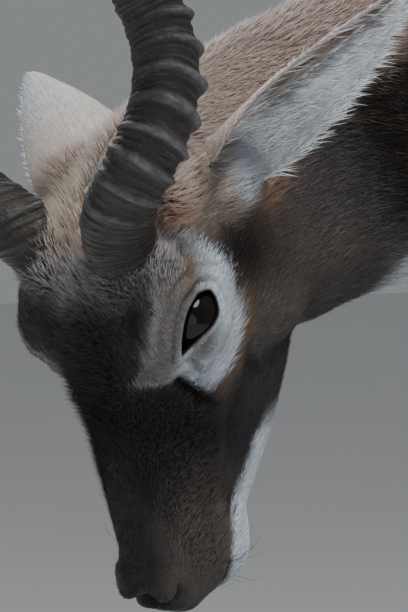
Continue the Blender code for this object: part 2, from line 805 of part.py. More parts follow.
def add_claws(material):
    """The two claws of each foot, with flat soles on z = 0."""
    for (pair, body_side), foot_set in FOOT_SETS.items():
        rows = FORELEG if pair == "front" else HINDLEG
        foot = leg_path(rows, body_side, foot_set)[-1][0]
        flank = "left" if body_side > 0 else "right"
        for side, where in ((body_side, "outer"), (-body_side, "inner")):
            bm = bmesh.new()
            close_tube(bm, [claw_ring(bm, foot, side, spec) for spec in (CLAW_SOLE, CLAW_WALL, CLAW_TOP)])
            finish(add_object(f"claw_{pair}_{flank}_{where}", bm), material)


def cut_feet(flesh):
    """Ends the flesh of each leg on the sloping line of the hoof."""
    for (pair, side), foot_set in FOOT_SETS.items():
        rows = FORELEG if pair == "front" else HINDLEG
        foot = leg_path(rows, side, foot_set)[-1][0]
        normal = Vector((0, CORONET["slope"], -1))
        carve(flesh, half_space((foot.x, foot.y, coronet_height(foot.y, foot)), normal, FOOT_REACH))
    keep_largest(flesh)


def add_tail(swollen_torso, material):
    bm = bmesh.new()
    path = [(Vector((0, y, z)), width, depth) for y, z, width, depth in smooth_rows(TAIL, 3)]
    add_path_tube(bm, path, 8)
    tail = add_object("tail", bm)
    carve(tail, swollen_torso)
    keep_largest(tail)
    finish(tail, material)


def stand_on_origin():
    """Moves the whole animal so that the origin is the middle of its box, at the floor."""
    points = [v.co for made in bpy.data.objects for v in made.data.vertices]
    low = [min(point[k] for point in points) for k in range(3)]
    high = [max(point[k] for point in points) for k in range(3)]
    shift = Vector((-(low[0] + high[0]) / 2, -(low[1] + high[1]) / 2, -low[2]))
    for made in bpy.data.objects:
        made.data.transform(Matrix.Translation(shift))


def main():
    clear_scene()
    fawn = make_material("fawn_coat", COAT["fawn"], 0.9)
    dark = make_material("dark_coat", COAT["dark"], 0.9)
    white = make_material("white_coat", COAT["white"], 0.9)
    horn = make_material("horn", COAT["horn"], 0.55)
    eye = make_material("eye", COAT["eye"], 0.08)
    hoof = make_material("hoof", COAT["hoof"], 0.4)

    flesh = thinned(fused_flesh())
    cut_feet(flesh)
    parted_legs(flesh, white)
    head = parted(flesh, "head", cut_plane(*HEAD_CUT), dark)
    swollen_head = swollen(head, 1.5 * GAP)
    add_horns(swollen_head, horn)
    add_ears(swollen_head, white)
    bpy.data.objects.remove(swollen_head)
    add_eyes(head, eye)
    add_nostrils_and_mouth(head)
    finish(head, dark)
    parted(flesh, "neck", cut_plane(*NECK_CUT), fawn)
    flesh.name = "torso"
    finish(flesh, dark)
    add_tail(swollen(flesh, GAP), fawn)
    add_claws(hoof)
    stand_on_origin()


if __name__ == "__main__":
    main()
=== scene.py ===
import math

import bmesh
import bpy
import numpy as np
from mathutils import Matrix, Vector


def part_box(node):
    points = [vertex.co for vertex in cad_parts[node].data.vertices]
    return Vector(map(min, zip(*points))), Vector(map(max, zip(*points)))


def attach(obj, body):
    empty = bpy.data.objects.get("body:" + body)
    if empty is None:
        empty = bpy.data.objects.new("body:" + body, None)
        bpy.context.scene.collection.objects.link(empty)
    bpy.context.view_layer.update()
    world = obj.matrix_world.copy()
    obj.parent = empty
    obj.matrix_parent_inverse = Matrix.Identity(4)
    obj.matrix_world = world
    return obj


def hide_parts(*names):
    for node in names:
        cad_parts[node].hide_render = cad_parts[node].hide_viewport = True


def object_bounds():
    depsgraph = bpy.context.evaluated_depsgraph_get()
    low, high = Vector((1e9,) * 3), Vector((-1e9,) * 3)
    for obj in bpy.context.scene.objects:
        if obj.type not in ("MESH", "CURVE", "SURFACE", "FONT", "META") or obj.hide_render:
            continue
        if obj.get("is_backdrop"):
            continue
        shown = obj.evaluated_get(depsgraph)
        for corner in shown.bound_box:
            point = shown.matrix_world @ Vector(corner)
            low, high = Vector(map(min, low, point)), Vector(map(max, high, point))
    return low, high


# A blackbuck with its head lowered. It faces -Y, its left is +X, it stands on z = 0.
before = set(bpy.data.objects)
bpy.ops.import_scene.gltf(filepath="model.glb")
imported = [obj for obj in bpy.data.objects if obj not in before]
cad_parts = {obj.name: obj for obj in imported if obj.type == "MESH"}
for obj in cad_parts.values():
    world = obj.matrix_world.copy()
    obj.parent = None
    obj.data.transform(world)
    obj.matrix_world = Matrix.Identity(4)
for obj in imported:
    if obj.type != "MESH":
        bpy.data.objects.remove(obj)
cadBox = [list(corner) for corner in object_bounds()]
mm = 0.001
scene = bpy.context.scene
dice = np.random.default_rng(41)

# The head's own frame: l to the animal's left, f from poll to nose, u out of the forehead
headPitch = math.radians(88.0)
headL = Vector((1, 0, 0))
headF = Vector((0, -math.cos(headPitch), -math.sin(headPitch)))
headU = Vector((0, -math.sin(headPitch), math.cos(headPitch)))
headTurn = Matrix((headL, headF, headU)).transposed().to_4x4()
headMid = Vector((0.0, -0.619, 0.5155))  # before the shift that stands the animal on the origin


def boxMiddle(node):
    low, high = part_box(node)
    return (Vector(low) + Vector(high)) / 2


eyePlace = (33.0, 1.0, 1.1)
shift = (boxMiddle("eye_left") + boxMiddle("eye_right")) / 2
shift -= headMid + (headF * eyePlace[1] + headU * eyePlace[2]) * mm


def headPoint(l, f, u):
    return headMid + (headL * l + headF * f + headU * u) * mm


def headDirection(l, f, u):
    return (headL * l + headF * f + headU * u).normalized()


def onSide(side, place):
    # a place or a direction on the left, mirrored for the right
    return side * place[0], place[1], place[2]


def clamp(value, low=0.0, high=1.0):
    return np.clip((value - low) / (high - low), 0.0, 1.0)


def bump(value, middle, width):
    return np.exp(-(((value - middle) / width) ** 2))


def patch(a, b, width):
    return bump(np.hypot(a, b), 0, width)


# Shader nodes, written as expressions
class Wire:
    tree = None

    def __init__(self, socket):
        self.socket = socket

    @staticmethod
    def node(kind, settings=None, out=0, **inputs):
        made = Wire.tree.nodes.new("ShaderNode" + kind)
        for name, value in (settings or {}).items():
            setattr(made, name, value)
        for name, value in inputs.items():
            found = [s for s in made.inputs if s.enabled and s.name.replace(" ", "") == name]
            socket = made.inputs[int(name[1:])] if name[0] == "i" and name[1:].isdigit() else found[0]
            if isinstance(value, Wire):
                Wire.tree.links.new(value.socket, socket)
            else:
                socket.default_value = value
        return Wire(made.outputs[out])

    def math(self, operation, other=None, flip=False):
        pair = (other, self) if flip else (self, other)
        given = {f"i{k}": value for k, value in enumerate(pair) if value is not None}
        return Wire.node("Math", {"operation": operation}, **given)

    def __add__(self, other):
        return self.math("ADD", other)

    def __radd__(self, other):
        return self.math("ADD", other, True)

    def __sub__(self, other):
        return self.math("SUBTRACT", other)

    def __rsub__(self, other):
        return self.math("SUBTRACT", other, True)

    def __mul__(self, other):
        return self.math("MULTIPLY", other)

    def __rmul__(self, other):
        return self.math("MULTIPLY", other, True)

    def __truediv__(self, other):
        return self.math("DIVIDE", other)

    def __pow__(self, other):
        return self.math("POWER", other)


def mixColour(factor, first, second, blend="MIX"):
    pair = [(*c, 1.0) if isinstance(c, tuple) else c for c in (first, second)]
    settings = {"data_type": "RGBA", "blend_type": blend}
    return Wire.node("Mix", settings, 2, i0=factor, i6=pair[0], i7=pair[1])


def between(wire, low, high):
    return Wire.node("MapRange", {}, Value=wire, FromMin=low, FromMax=high)


def noise(coords, scale, detail=3.0, roughness=0.5, stretch=(1, 1, 1)):
    placed = Wire.node("Mapping", {}, Vector=coords, Scale=stretch)
    return Wire.node("TexNoise", {}, Vector=placed, Scale=scale, Detail=detail, Roughness=roughness)


def finishNamed(name, build, **constants):
    # the dictionary that build returns feeds Base Color, Roughness and the bump's height
    material = bpy.data.materials.new(name)
    material.use_nodes = True
    Wire.tree = material.node_tree
    shader = next(n for n in Wire.tree.nodes if n.type == "BSDF_PRINCIPLED")
    for socket, value in constants.items():
        shader.inputs[socket.replace("_", " ")].default_value = value
    given = build()
    if "height" in given:
        given["Normal"] = Wire.node("Bump", {}, Strength=1.0, Distance=given["depth"], Height=given["height"])
    for socket in ("Base Color", "Roughness", "Normal"):
        if socket in given:
            Wire.tree.links.new(given[socket].socket, shader.inputs[socket])
    return material


def objectCoords():
    return Wire.node("TexCoord", {}, 3)


def attribute(name, out=0):
    return Wire.node("Attribute", {"attribute_name": name}, out)


# Making pieces
def meshOf(bm, name, closed=True):
    if closed:
        bmesh.ops.recalc_face_normals(bm, faces=bm.faces)
    mesh = bpy.data.meshes.new(name)
    bm.to_mesh(mesh)
    bm.free()
    return mesh


def linked(name, data):
    made = bpy.data.objects.new(name, data)
    scene.collection.objects.link(made)
    return made


def addPiece(name, mesh, material, nodes=(), smooth=True):
    # everything is made in the unshifted frame, then moved to where the CAD stands
    mesh.name = name
    mesh.transform(Matrix.Translation(shift))
    made = linked(name, mesh)
    mesh.materials.clear()
    mesh.materials.append(material)
    if smooth:
        mesh.shade_smooth()
    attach(made, "root")
    if nodes:
        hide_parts(*nodes)


def applied(made):
    graph = bpy.context.evaluated_depsgraph_get()
    graph.update()
    mesh = bpy.data.meshes.new_from_object(made.evaluated_get(graph))
    made.modifiers.clear()
    made.data = mesh
    return made


def smoothRows(rows, steps):
    # rows between the given ones, on a curve that passes through each of them
    rows = np.array(rows, dtype=float)
    last = len(rows) - 1
    found = []
    for i in range(last):
        p, q, r, w = (rows[min(max(i + k, 0), last)] for k in (-1, 0, 1, 2))
        for s in range(steps):
            t = s / steps
            found.append(q + 0.5 * t * (r - p + t * (2 * p - 5 * q + 4 * r - w + t * (3 * (q - r) + w - p))))
    found.append(rows[-1])
    return found


def addRing(bm, centre, side, up, halfWidth, rise, fall, above, below, count):
    ring = []
    for k in range(count):
        turn = 2 * math.pi * k / count
        across, height = math.cos(turn), math.sin(turn)
        power, reach = (above, rise) if height > 0 else (below, fall)
        x = halfWidth * math.copysign(abs(across) ** (2 / power), across)
        z = reach * math.copysign(abs(height) ** (2 / power), height)
        ring.append(bm.verts.new(centre + side * x + up * z))
    return ring


def closeTube(bm, rings):
    for lower, upper in zip(rings, rings[1:]):
        edges = []
        for ring in (lower, upper):
            for a, b in zip(ring, ring[1:] + ring[:1]):
                edges.append(bm.edges.get((a, b)) or bm.edges.new((a, b)))
        bmesh.ops.bridge_loops(bm, edges=edges)
    bm.faces.new(rings[0])
    bm.faces.new(rings[-1])


def addPathTube(bm, path, count):
    rings = []
    for k, (centre, width, depth) in enumerate(path):
        along = (path[min(k + 1, len(path) - 1)][0] - path[max(k - 1, 0)][0]).normalized()
        fore = along.cross(headL).normalized()
        rings.append(addRing(bm, centre, headL, fore, width, depth, depth, 2, 2, count))
    closeTube(bm, rings)


def addBall(bm, centre, radii, rotation=Matrix.Identity(4), detail=3):
    matrix = Matrix.Translation(centre) @ rotation @ Matrix.Diagonal((*radii, 1))
    return bmesh.ops.create_icosphere(bm, subdivisions=detail, radius=1, matrix=matrix)["verts"]


# The stations of the solids: body, legs and head
body = {
    # rump to poll: y, z, lean of the ring in degrees, rise, fall, half width, roundness above, below
    "trunk": (
        (0.398, 0.676, 0, 0.034, 0.042, 0.028, 2.0, 2.0),
        (0.374, 0.670, 0, 0.078, 0.084, 0.060, 2.0, 2.0),
        (0.325, 0.664, 0, 0.114, 0.112, 0.086, 2.0, 2.0),
        (0.255, 0.660, 0, 0.131, 0.127, 0.100, 2.0, 2.0),
        (0.175, 0.655, 0, 0.137, 0.140, 0.107, 2.0, 2.1),
        (0.095, 0.645, 0, 0.143, 0.154, 0.115, 2.0, 2.1),
        (0.015, 0.635, 0, 0.150, 0.167, 0.121, 2.0, 2.1),
        (-0.065, 0.628, 0, 0.160, 0.177, 0.121, 1.9, 2.0),
        (-0.135, 0.628, 0, 0.168, 0.180, 0.112, 1.8, 2.0),
        (-0.200, 0.635, 2, 0.161, 0.176, 0.097, 1.8, 2.0),
        (-0.255, 0.638, 8, 0.142, 0.156, 0.083, 1.8, 2.0),
        (-0.310, 0.632, 16, 0.119, 0.126, 0.071, 1.9, 2.0),
        (-0.365, 0.622, 20, 0.102, 0.098, 0.062, 1.9, 2.0),
        (-0.430, 0.607, 19, 0.088, 0.078, 0.056, 2.0, 2.0),
        (-0.500, 0.590, 19, 0.081, 0.070, 0.052, 2.0, 2.0),
        (-0.555, 0.571, 23, 0.076, 0.068, 0.049, 2.0, 2.0),
        (-0.600, 0.550, 38, 0.063, 0.063, 0.045, 2.0, 2.0),
        (-0.622, 0.530, 60, 0.042, 0.050, 0.036, 2.0, 2.0),
    ),
    # x, y, z, half width, half depth
    "front": (
        (0.066, -0.190, 0.700, 0.022, 0.040),
        (0.074, -0.215, 0.655, 0.030, 0.058),
        (0.083, -0.245, 0.600, 0.037, 0.060),
        (0.086, -0.242, 0.540, 0.038, 0.058),
        (0.082, -0.214, 0.485, 0.033, 0.051),
        (0.078, -0.210, 0.440, 0.0265, 0.038),
        (0.075, -0.214, 0.390, 0.0220, 0.0295),
        (0.073, -0.218, 0.340, 0.0182, 0.0232),
        (0.072, -0.222, 0.300, 0.0168, 0.0200),
        (0.072, -0.224, 0.272, 0.0188, 0.0218),
        (0.071, -0.221, 0.245, 0.0162, 0.0190),
        (0.071, -0.218, 0.215, 0.0126, 0.0158),
        (0.070, -0.217, 0.165, 0.0116, 0.0148),
        (0.070, -0.217, 0.120, 0.0128, 0.0160),
        (0.070, -0.219, 0.098, 0.0165, 0.0198),
        (0.070, -0.228, 0.075, 0.0148, 0.0165),
        (0.070, -0.241, 0.050, 0.0162, 0.0165),
        (0.070, -0.250, 0.030, 0.0190, 0.0190),
        (0.070, -0.254, 0.014, 0.0190, 0.0190),
    ),
    "hind": (
        (0.050, 0.290, 0.715, 0.030, 0.062),
        (0.068, 0.262, 0.655, 0.044, 0.094),
        (0.079, 0.230, 0.590, 0.046, 0.100),
        (0.082, 0.208, 0.525, 0.041, 0.078),
        (0.079, 0.214, 0.465, 0.033, 0.056),
        (0.075, 0.238, 0.410, 0.0265, 0.042),
        (0.072, 0.268, 0.360, 0.0210, 0.0320),
        (0.070, 0.297, 0.315, 0.0180, 0.0270),
        (0.069, 0.320, 0.280, 0.0190, 0.0290),
        (0.068, 0.322, 0.250, 0.0172, 0.0240),
        (0.068, 0.315, 0.215, 0.0140, 0.0182),
        (0.067, 0.308, 0.165, 0.0124, 0.0158),
        (0.067, 0.301, 0.118, 0.0136, 0.0168),
        (0.067, 0.299, 0.094, 0.0170, 0.0205),
        (0.067, 0.289, 0.072, 0.0150, 0.0166),
        (0.067, 0.276, 0.050, 0.0162, 0.0165),
        (0.067, 0.266, 0.030, 0.0190, 0.0190),
        (0.067, 0.262, 0.014, 0.0190, 0.0190),
    ),
    "footSets": {("front", 1): -0.030, ("front", -1): 0.025, ("hind", 1): 0.030, ("hind", -1): -0.025},
    "legTop": 0.60,
    "hock": ((0.069, 0.345, 0.296), (0.011, 0.012, 0.024)),
    "dewClaw": {"apart": 0.010, "behind": 0.017, "height": 0.079, "radii": (0.0055, 0.006, 0.009)},
    "fetlock": {"front": -0.219, "hind": 0.299},
    "muscles": (
        ((0.068, -0.205, 0.630), (0.036, 0.070, 0.125), -24),
        ((0.058, 0.268, 0.640), (0.046, 0.098, 0.130), 18),
    ),
    "tail": (
        (0.360, 0.748, 0.022, 0.016),
        (0.385, 0.742, 0.021, 0.013),
        (0.404, 0.722, 0.020, 0.011),
        (0.414, 0.690, 0.021, 0.011),
        (0.418, 0.655, 0.022, 0.012),
        (0.418, 0.620, 0.020, 0.012),
        (0.416, 0.590, 0.012, 0.008),
        (0.414, 0.575, 0.004, 0.003),
    ),
}
head = {
    # f, top, bottom, half width, roundness above, roundness below
    "skull": (
        (-94, 12, -30, 20, 2.0, 2.0),
        (-80, 26, -42, 35, 2.0, 2.0),
        (-62, 36, -52, 42, 2.1, 2.0),
        (-44, 41, -58, 45, 2.3, 2.0),
        (-24, 43, -60, 47, 2.7, 2.0),
        (-5, 42, -58, 46, 2.9, 2.0),
        (13, 38, -54, 42, 2.9, 2.0),
        (31, 32, -51, 36, 2.7, 2.0),
        (50, 26, -46, 28.5, 2.2, 2.0),
        (70, 19, -42, 26, 2.2, 2.0),
        (90, 12, -39, 24.5, 2.2, 2.1),
        (108, 5, -37, 24, 2.2, 2.2),
        (122, -1, -35, 23.5, 2.2, 2.2),
        (133, -8, -32, 20, 2.2, 2.2),
        (140, -15, -28, 12, 2.0, 2.0),
    ),
    "jaw": (
        (-50, -30, -66, 20, 2.0, 2.0),
        (-32, -22, -80, 28, 2.0, 2.0),
        (-8, -22, -85, 28, 2.0, 2.0),
        (18, -24, -83, 24.5, 2.0, 2.0),
        (45, -26, -77, 21, 2.0, 2.0),
        (70, -27, -68, 19, 2.0, 2.0),
        (90, -28, -59, 18, 2.0, 2.2),
        (108, -30, -57, 17.5, 2.0, 2.2),
        (120, -33, -54, 15, 2.0, 2.2),
        (128, -38, -49, 9, 2.0, 2.0),
    ),
    # rounded masses on both sides: centre and radii
    "masses": (
        ((33.0, 1.0, 1.1), (20.6, 20.6, 20.6)),
        ((33, -3, 8), (18, 30, 19)),
        ((44.5, -5, 24.5), (14.5, 28, 14.5)),
        ((36, 11, 18), (13, 21, 12)),
        ((26, -24, 34), (20, 20, 16)),
        ((27, -20, -46), (16, 34, 32)),
        ((13, 121, -12), (11, 17, 13)),
        ((13, 108, -30), (11, 24, 11)),
        ((8, 104, -50), (11, 21, 8)),
        ((38, -62, -16), (17, 19, 19)),
        ((32, -60, 13), (16, 22, 18)),
    ),
}
skinSettings = {
    "voxel": 0.0024,
    "smoothings": 44,
    "headSoftness": 0.3,
    "headReach": 0.19,
    "bodyTriangles": 70000,
    "coatDepth": 0.0030,
    "shade": 0.72,  # painted shade: the skin's brightness as a share of the hair's, darker as the shade between the hairs
    # points round each ring
    "around": {"trunk": 72, "leg": 32, "skull": 64, "jaw": 48, "tail": 28},
}


def swing(z, footSet):
    return footSet * min(1.0, max(0.0, 1 - z / body["legTop"]))


def legPath(pair, side):
    footSet = body["footSets"][(pair, side)]
    return [
        (Vector((side * x, y + swing(z, footSet), z)), width, depth)
        for x, y, z, width, depth in smoothRows(body[pair], 5)
    ]


def makeFlesh():
    bm = bmesh.new()
    around = skinSettings["around"]
    rings = []
    count = around["trunk"]
    for y, z, lean, rise, fall, width, above, below in smoothRows(body["trunk"], 8):
        tilt = math.radians(lean)
        up = Vector((0, -math.sin(tilt), math.cos(tilt)))
        rings.append(addRing(bm, Vector((0, y, z)), headL, up, width, rise, fall, above, below, count))
    closeTube(bm, rings)
    for (x, y, z), radii, turn in body["muscles"]:
        for side in (1, -1):
            addBall(bm, Vector((side * x, y, z)), radii, Matrix.Rotation(math.radians(turn), 4, "X"), 4)
    for (pair, side), footSet in body["footSets"].items():
        path = legPath(pair, side)
        addPathTube(bm, path, around["leg"])
        if pair == "hind":
            (x, y, z), radii = body["hock"]
            addBall(bm, Vector((side * x, y + swing(z, footSet), z)), radii)
        dew = body["dewClaw"]
        y = body["fetlock"][pair] + dew["behind"] + swing(dew["height"], footSet)
        for across in (-dew["apart"], dew["apart"]):
            addBall(bm, Vector((path[-1][0].x + across, y, dew["height"])), dew["radii"])
    for name in ("skull", "jaw"):
        rings = []
        count = around[name]
        for f, top, bottom, width, above, below in smoothRows(head[name], 6):
            reach = (top - bottom) / 2 * mm
            middle = headPoint(0, f, (top + bottom) / 2)
            rings.append(addRing(bm, middle, headL, headU, width * mm, reach, reach, above, below, count))
        closeTube(bm, rings)
    for (l, f, u), radii in head["masses"]:
        for side in (1, -1):
            addBall(bm, headPoint(side * l, f, u), [r * mm for r in radii], headTurn, 4)
    flesh = linked("flesh", meshOf(bm, "flesh"))
    fuse = flesh.modifiers.new("fuse", "REMESH")
    fuse.mode = "VOXEL"
    fuse.voxel_size = skinSettings["voxel"]
    return applied(flesh)


def coordsOf(mesh):
    found = np.empty(len(mesh.vertices) * 3)
    mesh.vertices.foreach_get("co", found)
    return found.reshape(-1, 3)


def normalsOf(mesh):
    found = np.empty(len(mesh.vertices) * 3)
    mesh.vertices.foreach_get("normal", found)
    return found.reshape(-1, 3)


def setCoords(mesh, points):
    mesh.vertices.foreach_set("co", points.ravel())
    mesh.update()


def headCoords(points):
    away = (points - np.array(headMid)) / mm
    return away @ np.array(headL), away @ np.array(headF), away @ np.array(headU)


def fromHead(points):
    l, f, u = headCoords(points)
    return np.sqrt(l * l + np.minimum(f, 0) ** 2 + u * u)


def fromMiddle(points):
    l, f, u = headCoords(points)
    return np.sqrt(l * l + f * f + u * u)


def giveGroup(made, name, weights):
    group = made.vertex_groups.new(name=name)
    for index, weight in enumerate(np.round(weights, 2)):
        if weight > 0:
            group.add([index], float(weight), "REPLACE")


def soften(made, weights, times):
    giveGroup(made, "soften", weights)
    smooth = made.modifiers.new("smooth", "SMOOTH")
    smooth.factor = 0.5
    smooth.iterations = times
    smooth.vertex_group = "soften"
    applied(made)
    made.vertex_groups.clear()


def triangleCount(made):
    return sum(len(p.vertices) - 2 for p in made.data.polygons)


# Where things lie on the head
lids = {
    "out": (0.90, 0.03, 0.43),
    "long": (-0.285, 0.885, 0.37),  # rear corner to front corner
    "halfLength": 16.6,
    "halfHeight": 8.4,
    "taper": 0.28,
    "flat": 0.36,  # how much flatter the lower lid is towards its front
    "eyeRadius": 19.0,
    "eyeShare": 0.995,  # the dressed eye stays just inside the solid one
    "bareShare": 1.035,  # no hair grows this near the eye's middle, in eye radii
    # the opening's cutter: mm out from the middle of the eye, and how much it widens
    "cutter": ((9.0, 1.0), (19.5, 1.0), (34.0, 1.12)),
    "cutterSteps": 28,
}


def eyeFrame(side):
    centre = headPoint(*onSide(side, eyePlace))
    out = headDirection(*onSide(side, lids["out"]))
    along = headDirection(*onSide(side, lids["long"]))
    along = (along - out * along.dot(out)).normalized()
    return centre, out, along, along.cross(out) * side


def eyeCoords(points, side):
    # along the lids, across them towards the brow, and out of the head, in mm
    centre, out, along, up = eyeFrame(side)
    away = (points - np.array(centre)) / mm
    return away @ np.array(along), away @ np.array(up), away @ np.array(out)


def lidHeight(a):
    t = np.clip(a / lids["halfLength"], -1, 1)
    return lids["halfHeight"] * (1 - t * t) ** 0.75 * (1 - lids["taper"] * t)


def lowerLid(a):
    return lidHeight(a) * (1 - lids["flat"] * clamp(a / lids["halfLength"], -0.6, 0.35))


def fromLids(a, b):
    # rough distance in mm from the lids' edge, below zero inside the opening
    sample = np.linspace(-1, 1, 61) * lids["halfLength"]
    edge = np.stack([np.tile(sample, 2), np.concatenate([lidHeight(sample), -lowerLid(sample)])], 1)
    away = np.full(len(a), 1e9)
    for x, y in edge:
        away = np.minimum(away, (a - x) ** 2 + (b - y) ** 2)
    inside = (np.abs(a) < lids["halfLength"]) & (b < lidHeight(a)) & (b > -lowerLid(a))
    return np.where(inside, -1, 1) * np.sqrt(away)


def coatDepth(points):
    # how far the skin lies below the surface of the solids, in metres
    f = headCoords(points)[1]
    depth = np.full(len(points), skinSettings["coatDepth"])
    depth = depth * (0.35 + 0.65 * clamp(points[:, 2], 0.30, 0.50))
    face = 1 - clamp(fromHead(points), 95, 170)
    depth = depth * (1 - 0.55 * face)
    depth = depth * (1 - 0.6 * clamp(f, 85, 125) * (fromHead(points) < 150))
    for side in (1, -1):
        a, b, o = eyeCoords(points, side)
        near = np.sqrt(a * a + (b * 1.3) ** 2 + (o - 17) ** 2)
        depth = depth * (0.15 + 0.85 * clamp(near, 15, 34))
    return depth


def makeSkin():
    flesh = makeFlesh()
    points = coordsOf(flesh.data)
    weights = clamp(points[:, 2], 0.36, 0.48) * clamp(fromMiddle(points), 100, 150)
    soft = skinSettings["headSoftness"]
    soften(flesh, soft + (1 - soft) * weights, skinSettings["smoothings"])
    points = coordsOf(flesh.data)
    setCoords(flesh.data, points - normalsOf(flesh.data) * coatDepth(points)[:, None])
    away = fromMiddle(points) * mm > skinSettings["headReach"]
    giveGroup(flesh, "body", away.astype(float))
    first = np.array([p.vertices[0] for p in flesh.data.polygons])
    headFaces = 2 * int((~away[first]).sum())
    thin = flesh.modifiers.new("thin", "DECIMATE")
    thin.ratio = (headFaces + skinSettings["bodyTriangles"]) / triangleCount(flesh)
    thin.vertex_group = "body"
    thin.vertex_group_factor = 1.0
    applied(flesh)
    flesh.vertex_groups.clear()
    return flesh


def detailed(flesh):
    # finer faces round the eyes, the muzzle and the glands in front of and below the eyes
    bm = bmesh.new()
    bm.from_mesh(flesh.data)
    bmesh.ops.triangulate(bm, faces=bm.faces)
    bm.verts.ensure_lookup_table()
    points = np.array([v.co for v in bm.verts])
    l, f, u = headCoords(points)
    fine = (f > 84) & (np.abs(l) < 40) & (np.abs(u + 20) < 60) & (f < 160)
    for side in (1, -1):
        a, b, o = eyeCoords(points, side)
        fine |= (a * a + b * b < 31 ** 2) & (o > 0)
        fine |= (a > 14) & (a < 42) & (b < 2) & (b > -42) & (o > -12)
    edges = [e for e in bm.edges if fine[e.verts[0].index] and fine[e.verts[1].index]]
    bmesh.ops.subdivide_edges(bm, edges=edges, cuts=1, use_grid_fill=True)
    bmesh.ops.triangulate(bm, faces=bm.faces)
    bm.to_mesh(flesh.data)
    bm.free()
    return flesh


# everything that is sculpted into the skin of the head, in mm
sculpt = {
    "lidRim": 1.1, "lidFold": 1.5, "lidCrease": 1.3,
    "gland": {"from": (26.5, -9), "to": (29, -33), "depth": 3.4, "width": 2.0},
    "nostril": {"place": (12.5, 132.0, -9.0), "depth": 7.0},
    "mouth": {"corner": 76.0, "height": -42.0, "depth": 2.2, "width": 1.5},
}


def fromGland(a, b, bow=0.0):
    # distance in mm from the slit of the gland, and how far along the slit
    (fa, fb), (ta, tb) = sculpt["gland"]["from"], sculpt["gland"]["to"]
    t = np.clip(((a - fa) * (ta - fa) + (b - fb) * (tb - fb)) / ((ta - fa) ** 2 + (tb - fb) ** 2), 0, 1)
    bowed = bow * np.sin(math.pi * t)
    return np.hypot(a - fa - t * (ta - fa) - bowed, b - fb - t * (tb - fb)), t


def nostrilCoords(l, f, u, side):
    # across the nostril and along it, and how far off the comma that curls up at its rear
    place = sculpt["nostril"]["place"]
    x, y, z = l * side - place[0], f - place[1], u - place[2]
    return x, y, z - 0.045 * (y + 2) ** 2 + 1.6


def sculpted(flesh):
    points = coordsOf(flesh.data)
    normals = normalsOf(flesh.data)
    l, f, u = headCoords(points)
    move = np.zeros(len(points))  # mm along the normal
    onHead = fromMiddle(points) < 190
    for side in (1, -1):
        a, b, o = eyeCoords(points, side)
        near = (o > 2) & (np.abs(a) < 60) & (np.abs(b) < 60)
        d = np.full(len(points), 1e3)
        d[near] = fromLids(a[near], b[near])
        upper = clamp(b, -2, 6)
        rim = sculpt["lidRim"] * bump(d, 1.4, 1.5)
        crease = -sculpt["lidCrease"] * bump(d, 4.6, 1.3) * (0.45 + 0.75 * upper)
        fold = sculpt["lidFold"] * bump(d, 7.6, 2.3) * (0.25 + 0.9 * upper)
        second = -0.8 * bump(d, 11.2, 1.4) * upper * clamp(a, 18, -4)
        lower = 0.5 * bump(d, 6.0, 3.0) * (1 - upper)
        bag = 1.9 * bump(a, 20.5, 2.9) * clamp(b, -32, -25) * clamp(b, 2, -5)
        bag -= 0.9 * bump(a, 15.0, 1.9) * clamp(b, -27, -19) * clamp(b, -5, -10)
        move += np.where(near, rim + crease + fold + second + lower + bag, 0)
        across, t = fromGland(a, b, 2.0)
        width = sculpt["gland"]["width"] * (0.55 + 0.6 * np.sin(math.pi * t))
        groove = -sculpt["gland"]["depth"] * np.exp(-((across / width) ** 2))
        lips = 0.9 * bump(across, 4.6, 1.7) * np.sin(math.pi * np.clip(t, 0.05, 0.95))
        move += np.where((o > -14) & (l * side > 8), groove + lips, 0)
        _, y, curl = nostrilCoords(l, f, u, side)
        hole = -sculpt["nostril"]["depth"] * np.exp(-((y / 7.5) ** 4) - (curl / 2.7) ** 2)
        rim = 1.1 * bump(np.sqrt((y / 2.1) ** 2 + curl ** 2), 5.6, 1.8)
        move += np.where((f > 118) & (u > -26) & (l * side > 1), hole + rim, 0)
    # mouth: a groove that dips behind the lip, with the lips full on either side
    mouth = sculpt["mouth"]
    line = mouth["height"] + 3.0 * clamp(f, 108, 134) - 3.0 * clamp(f, 96, 76)
    inMouth = clamp(f, mouth["corner"] - 3, mouth["corner"] + 5) * onHead * (f < 160)
    move += -mouth["depth"] * inMouth * np.exp(-(((u - line) / mouth["width"]) ** 2))
    move += 0.8 * inMouth * bump(u, line + 4.6, 2.6) + 0.6 * inMouth * bump(u, line - 4.2, 2.4)
    # philtrum and the hollow between the nostrils
    move += -1.3 * bump(l, 0, 1.5) * clamp(f, 128, 137) * (u < 2) * onHead
    # brow wrinkles
    fall = 0.5 * np.sin((f + 0.25 * np.abs(l)) / 2.3) * bump(f, -14, 13) * (u > 24) * bump(np.abs(l), 30, 22)
    move += np.where(onHead, fall, 0)
    points = points + normals * (move * mm)[:, None]
    setCoords(flesh.data, points)
    return flesh


def opened(flesh):
    # the almond openings of the lids
    for side in (1, -1):
        centre, out, along, up = eyeFrame(side)
        bm = bmesh.new()
        turns = np.linspace(-1, 1, lids["cutterSteps"] + 1)[:-1]
        outline = [(t * lids["halfLength"], float(lidHeight(t * lids["halfLength"]))) for t in turns]
        outline += [(-a, -float(lowerLid(-a))) for a, b in outline]
        rings = []
        for depth, spread in lids["cutter"]:
            places = [centre + (out * depth + along * a * spread + up * b * spread) * mm for a, b in outline]
            rings.append([bm.verts.new(place) for place in places])
        closeTube(bm, rings)
        cutter = linked("slit", meshOf(bm, "slit"))
        cut = flesh.modifiers.new("cut", "BOOLEAN")
        cut.operation = "DIFFERENCE"
        cut.solver = "EXACT"
        cut.object = cutter
        applied(flesh)
        bpy.data.objects.remove(cutter)
    return flesh


coronet = {"height": 0.027, "slope": -0.18, "hairDownTo": 0.030}


